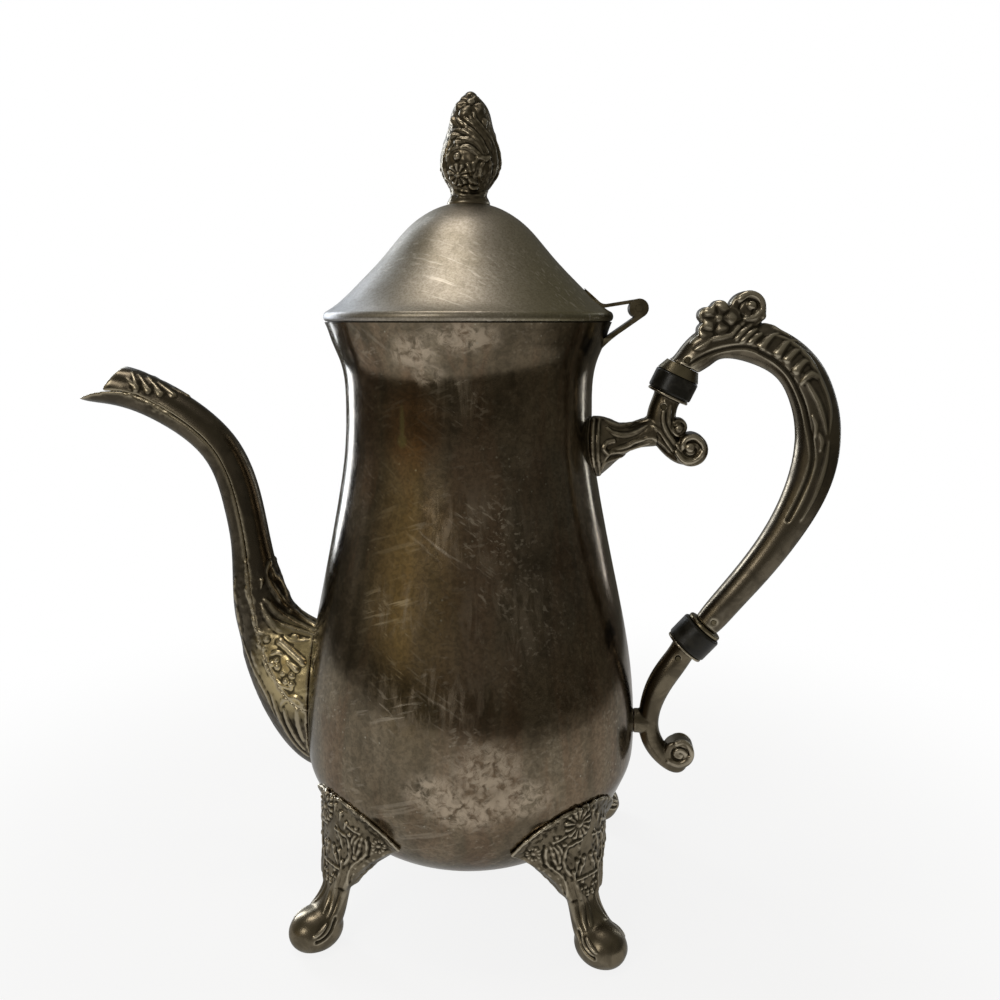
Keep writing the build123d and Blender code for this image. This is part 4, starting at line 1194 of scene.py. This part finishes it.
def plated_body():
    material, tree, shader, place = start_material("tarnished_body")
    find = body_points()
    drawn = stretch(tree, place, drawn_clouds)
    thick = clouds(tree, place, *body_clouds["thick"])
    scratched = spots(tree, place, find, scratched_marks)
    rubbed = clouds(tree, place, *body_clouds["rubbed"])
    worn = clouds(tree, drawn, *body_clouds["worn"])
    level = turned_scratches(tree, place, *level_scratches)
    steep = turned_scratches(tree, place, *steep_scratches)
    showing = reckon(tree, "MULTIPLY_ADD", scratched, *scratch_shares)
    masks = {
        "streaks": clouds(tree, drawn, *body_clouds["streaks"]),
        "rusty": clouds(tree, drawn, *body_clouds["rusty"]),
        "patches": clouds(tree, place, *body_clouds["patches"]),
        # Painted reflections of the room down the left of the wall
        "painted_brassy_reflection": spots(tree, place, find, brassy_reflection_marks),
        "painted_red_reflection": spots(tree, place, find, red_reflection_marks),
        "fine": clouds(tree, place, *body_clouds["fine"]),
        # Pale rubbed marks, and on the bowl a painted reflection as well
        "pale": reckon(tree, "MULTIPLY", spots(tree, place, find, pale_wear_and_reflection_marks), rubbed),
        "hazy": reckon(tree, "MULTIPLY", scratched, worn),
        "hair": reckon(tree, "MULTIPLY", reckon(tree, "MAXIMUM", level, steep), showing),
        "specks": use_group(tree, "speckle", {"Place": place, **body_speckle}).outputs[0],
        "drip": spots(tree, place, find, drip_marks),
    }
    colour = overlay(tree, blend_colours(tree, thick, *body_base), masks, body_layers)
    rough = reckon(tree, "MULTIPLY_ADD", thick, *body_roughness)
    rough = add_up(tree, rough, masks, body_roughened)
    fine_grain = grain(tree, stretch(tree, place, drawn_grain), *body_grain)
    height = reckon(tree, "MULTIPLY", fine_grain, body_grain_height)
    height = add_up(tree, height, masks, body_heights)
    finish_material(tree, shader, colour, rough, height, *body_bump)
    return material


def plated_lid():
    material, tree, shader, place = start_material("satin_lid")
    side = put(tree, "ShaderNodeSeparateXYZ", None, {"Vector": place}).outputs["X"]
    masks = {
        "fine": clouds(tree, place, *lid_clouds["fine"]),
        # Painted shade on the hinge's side and a painted bluish reflection on the spout's side
        "painted_olive_shade": between(tree, side, *lid_shaded_side),
        "painted_blue_reflection": between(tree, side, *lid_reflected_side),
        "grains": clouds(tree, place, *lid_clouds["grains"]),
        "scratches": turned_scratches(tree, place, *lid_scratches),
    }
    base = blend_colours(tree, clouds(tree, place, *lid_clouds["thick"]), *lid_base)
    colour = overlay(tree, base, masks, lid_layers)
    rough = reckon(tree, "MULTIPLY_ADD", masks["fine"], *lid_roughness)
    finish_material(tree, shader, colour, rough, grain(tree, place, *lid_grain), *lid_bump)
    return material


def cast_metal(name, hollow_colour, skin_colour, edge_colour, painted_glow=None):
    # Cast plate, dark in its hollows and rubbed bright on its edges, with a painted spot of golden light
    # where one is given
    material, tree, shader, place = start_material(name)
    relief = put(tree, "ShaderNodeAttribute", {"attribute_name": "relief"}).outputs["Fac"]
    wear = use_group(tree, "relief_wear", {"Relief": relief, "Place": place}).outputs
    masks = {"edge": wear["Edge"], "hollow": wear["Hollow"]}
    colours = {"edge": edge_colour, "hollow": hollow_colour}
    # A painted spot of golden light on the spout's root, where one is given
    if painted_glow is not None:
        centre, size, painted_glow_colour = painted_glow
        masks["painted_glow"] = spot(tree, place, centre, size)
        colours = {"painted_glow": painted_glow_colour, **colours}
    layers = {kind: (cast_strengths[kind], colours[kind]) for kind in colours}
    thick = clouds(tree, place, *cast_clouds)
    base = blend_colours(tree, thick, skin_colour, tuple(cast_duller * part for part in skin_colour))
    colour = overlay(tree, base, masks, layers)
    rough = reckon(tree, "MULTIPLY_ADD", thick, *cast_roughness)
    rough = add_up(tree, rough, masks, cast_roughened)
    finish_material(tree, shader, colour, rough, grain(tree, place, *cast_grain), *cast_bump)
    return material


def mottled(name, cloud, base, roughness, grains, bump, metallic):
    # One colour that passes into another in clouds, under a fine grain
    material, tree, shader, place = start_material(name)
    thick = clouds(tree, place, *cloud)
    rough = reckon(tree, "MULTIPLY_ADD", thick, *roughness)
    colour = blend_colours(tree, thick, *base)
    finish_material(tree, shader, colour, rough, grain(tree, place, *grains), *bump)
    shader.inputs["Metallic"].default_value = metallic
    return material


def turned_metal():
    return mottled("turned_metal", turned_clouds, turned_base, turned_roughness,
                   turned_grain, turned_bump, 1.0)


def moulded_insulator():
    return mottled("moulded_insulator", insulator_clouds, insulator_base, insulator_roughness,
                   insulator_grain, insulator_bump, 0.0)


def dress(names, material):
    for name in names:
        data = nodes[name].data
        data.materials.clear()
        data.materials.append(material)


# Colours of the castings in their hollows, on their skin and on their edges, and the painted golden light
# at the spout's root: its centre from the pot's axis and half sizes in metres, and its colour
cast_hollow = (0.030, 0.025, 0.016)
ornament_colours = ((0.21, 0.178, 0.125), (0.60, 0.54, 0.42))
spout_colours = ((0.115, 0.097, 0.07), (0.50, 0.44, 0.32))
handle_colours = ((0.19, 0.163, 0.12), (0.55, 0.50, 0.39))
root_painted_glow = ((-0.062, -0.012, 0.084), (0.020, 0.030, 0.022), (0.80, 0.66, 0.36))


def make_materials():
    return {
        "plated_body": plated_body(),
        "plated_lid": plated_lid(),
        "cast_ornament": cast_metal("cast_ornament", cast_hollow, *ornament_colours),
        "cast_spout": cast_metal("cast_spout", cast_hollow, *spout_colours, root_painted_glow),
        "cast_handle": cast_metal("cast_handle", cast_hollow, *handle_colours),
        "turned_metal": turned_metal(),
        "insulator": moulded_insulator(),
    }


bpy.context.scene.view_settings.view_transform = "Standard"
make_camera()
make_lights()
make_world()
make_floor()
groups["tarnish_clouds"] = make_clouds_group()
groups["fine_scratches"] = make_scratch_group()
groups["speckle"] = make_speckle_group()
groups["relief_wear"] = make_relief_group()
materials = make_materials()
# Painted shade: a dark ring in the joint under the lid
make_joint_shade_ring(materials["insulator"])
dress(["body_shell", "mouth_ring"], materials["plated_body"])
dress(["lid_dome", "lid_collar"], materials["plated_lid"])
dress(["finial_nut", "finial_washer", "upper_ferrule", "lower_bead"], materials["turned_metal"])
dress(["hinge_body_leaf", "hinge_lid_leaf", "hinge_pin", "insulator_pins"], materials["turned_metal"])
dress(["upper_insulator", "lower_insulator"], materials["insulator"])
make_castings(materials)
